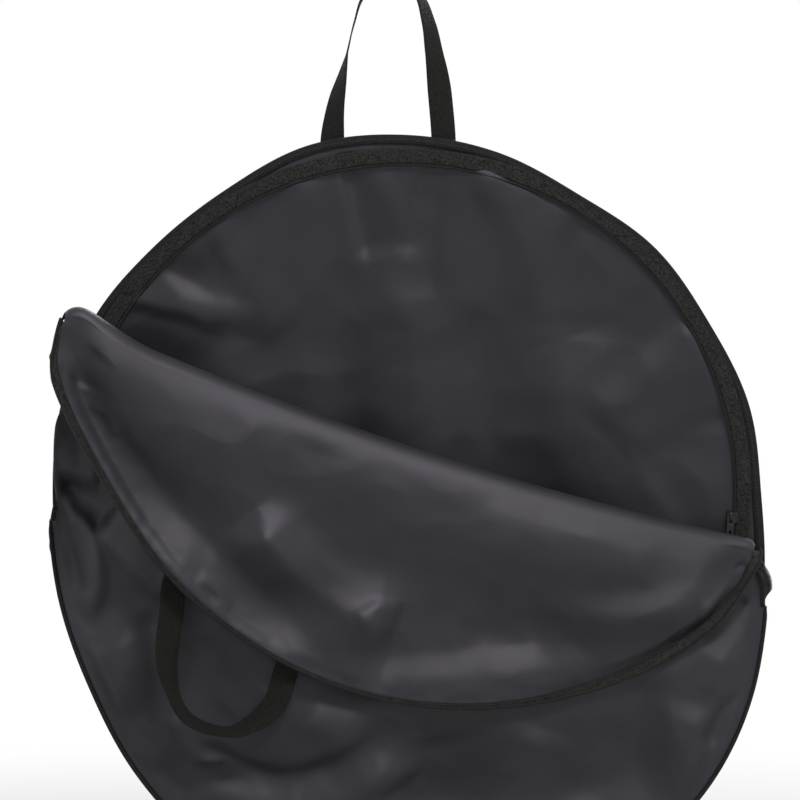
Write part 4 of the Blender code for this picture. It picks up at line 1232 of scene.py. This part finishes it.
def sewnEndOf(name, matrix, clothAt, upAxis):
    # The solid's own outline gives the strip's place, and the cloth that it is sewn to gives its shape.
    spots = placed(matrix.inverted(), np.array([vert.co[:] for vert in frame["nodes"][name].data.vertices]))
    across, up = spots[:, 0], spots[:, upAxis]
    middle, top, foot = (across.max() + across.min()) / 2, up.max(), up.min()

    def onCloth(places, level):
        points = clothAt(places)
        step = sewnEnd["step"]
        acrossWay = clothAt(places + np.array([step, 0.0])) - points
        upWay = clothAt(places + np.array([0.0, step])) - points
        normal = -unitRows(np.cross(acrossWay, upWay))
        return placed(matrix, points + normal * level), turned(matrix, normal)

    def patch(u, v):
        places = np.stack([middle + (u - 0.5) * webbing["width"], foot + (top - foot) * v], axis=-1)
        return onCloth(places, sewnEnd["level"])[0]

    piece = clothGrid(sewnName(name), *sewnEnd["cells"], patch, (webbing["width"], top - foot),
                      webbingMaterial)
    piece.modifiers["cloth"].thickness = webbing["thickness"]
    half = webbing["width"] / 2 - sewnEnd["boxInset"]
    high, low = top - sewnEnd["boxHead"], foot + sewnEnd["boxFoot"]
    corners = [(-half, high), (half, high), (half, low), (-half, low), (-half, high), (half, low),
               (half, high), (-half, low)]
    rows = []
    for (x0, z0), (x1, z1) in zip(corners, corners[1:]):
        places = np.linspace((middle + x0, z0), (middle + x1, z1), sewnEnd["seamSamples"])
        points, normal = onCloth(places, sewnEnd["level"] + webbing["thickness"] / 2)
        rows.append((points, np.cross(np.gradient(points, axis=0), normal), normal))
    return piece, rows


def backClothAt(places):
    x, z = places.T
    angle, reach = np.degrees(np.arctan2(z, x)), np.hypot(x, z)
    points = backSurface(angle, reach / (rimRadius(angle) - bag["edgeInset"]))
    points[:, 1] -= backRelief(places)
    return points


def flapClothAt(places):
    level = flapFlareAt(places[:, 1])
    level = level + flapCrest(places, level) + flapRelief(places)
    return settled(np.stack([places[:, 0], places[:, 1], level], axis=-1))


for panel, matrix, clothAt, upAxis, body in (("back", bagFrame, backClothAt, 2, "bag"),
                                             ("front", foldFrame, flapClothAt, 1, "flap")):
    for side in ("left", "right"):
        name = panel + "_handle_sewn_end_" + side
        piece, rows = sewnEndOf(name, matrix, clothAt, upAxis)
        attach(piece, body)
        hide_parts(name)
        thread = stitchRows(sewnName(name) + "Thread", rows, 0.0, sewnEnd["threadRise"], boxStitch,
                            threadMaterial)
        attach(thread, body)
print("stage: metal and sewn ends")


# Floor, backdrop, light and camera

studio = {
    "floorHeight": -1.12,
    "floorSize": 80.0,
    "paper": {"light": (0.90, 0.90, 0.90), "roughness": 0.9, "specular": 0.1},
    "paperNear": 0.9,
    "paperFar": 2.6,
    "ambient": 0.13,
    "lightTarget": (0.0, 0.0, -0.55),
    "lights": (("keyLight", (0.8, -2.5, 1.95), (1.1, 0.6), 98.0),
               ("fillLight", (2.6, -1.8, 0.2), (0.8, 1.6), 6.0),
               ("leftLight", (-2.6, -0.9, 0.0), (0.7, 1.6), 6.0),
               ("rearLight", (0.8, 2.4, 1.6), (1.6, 1.0), 42.0)),
    "cameraAt": (0.0136, -3.30, -0.470),
    "fieldMetres": 0.904,
    "fieldAt": 3.30,
}


def backgroundRays(tree):
    # 1 for rays that show the background itself, 0 for the light that falls on the bag.
    rays = node(tree, "ShaderNodeLightPath")
    seen = maths(tree, "MAXIMUM", rays.outputs["Is Camera Ray"], rays.outputs["Is Glossy Ray"])
    return maths(tree, "MAXIMUM", seen, rays.outputs["Is Transmission Ray"])


def paperMaterial():
    # Paper near the bag, which takes its shadow and fades to plain white far away.
    made, tree, shader = newMaterial("studioPaper", studio["paper"])
    away = node(tree, "ShaderNodeVectorMath", {"operation": "LENGTH"})
    tree.links.new(objectCoordinates(tree), away.inputs[0])
    spread = node(tree, "ShaderNodeMapRange", {"interpolation_type": "SMOOTHSTEP"})
    spread.inputs["From Min"].default_value = studio["paperNear"]
    spread.inputs["From Max"].default_value = studio["paperFar"]
    tree.links.new(away.outputs["Value"], spread.inputs["Value"])
    white = node(tree, "ShaderNodeEmission", Strength=1.0)
    mix = node(tree, "ShaderNodeMixShader")
    tree.links.new(maths(tree, "MULTIPLY", backgroundRays(tree), spread.outputs[0]), mix.inputs[0])
    tree.links.new(shader.outputs[0], mix.inputs[1])
    tree.links.new(white.outputs[0], mix.inputs[2])
    tree.links.new(mix.outputs[0], tree.nodes["Material Output"].inputs["Surface"])
    return made


def makeFloor():
    bm = bmesh.new()
    bmesh.ops.create_grid(bm, x_segments=2, y_segments=2, size=studio["floorSize"] / 2)
    bmesh.ops.translate(bm, verts=bm.verts, vec=(0.0, 0.0, studio["floorHeight"]))
    floor = finished("studioFloor", bm, paperMaterial())


def makeLight(name, spot, size, power):
    data = bpy.data.lights.new(name, "AREA")
    data.shape = "RECTANGLE"
    data.size, data.size_y = size
    data.energy = power
    lamp = bpy.data.objects.new(name, data)
    lamp.location = spot
    lamp.rotation_euler = (Vector(studio["lightTarget"]) - Vector(spot)).to_track_quat("-Z", "Y").to_euler()
    bpy.context.scene.collection.objects.link(lamp)


makeFloor()
for settings in studio["lights"]:
    makeLight(*settings)

world = bpy.data.worlds.new("studioWorld")
bpy.context.scene.world = world
world.use_nodes = True
worldTree = world.node_tree
backdrop = worldTree.nodes["Background"]
ambient = studio["ambient"]
strength = maths(worldTree, "MULTIPLY_ADD", backgroundRays(worldTree), 1.0 - ambient, ambient)
worldTree.links.new(strength, backdrop.inputs["Strength"])
backdrop.inputs["Color"].default_value = (1.0, 1.0, 1.0, 1.0)

cameraData = bpy.data.cameras.new("photoCamera")
cameraData.lens_unit = "FOV"
cameraData.angle = 2 * math.atan(studio["fieldMetres"] / 2 / studio["fieldAt"])
camera = bpy.data.objects.new("photoCamera", cameraData)
camera.location = studio["cameraAt"]
camera.rotation_euler = (math.pi / 2, 0.0, 0.0)
bpy.context.scene.collection.objects.link(camera)
bpy.context.scene.camera = camera
bpy.context.scene.view_settings.view_transform = "Standard"
print("stage: studio")
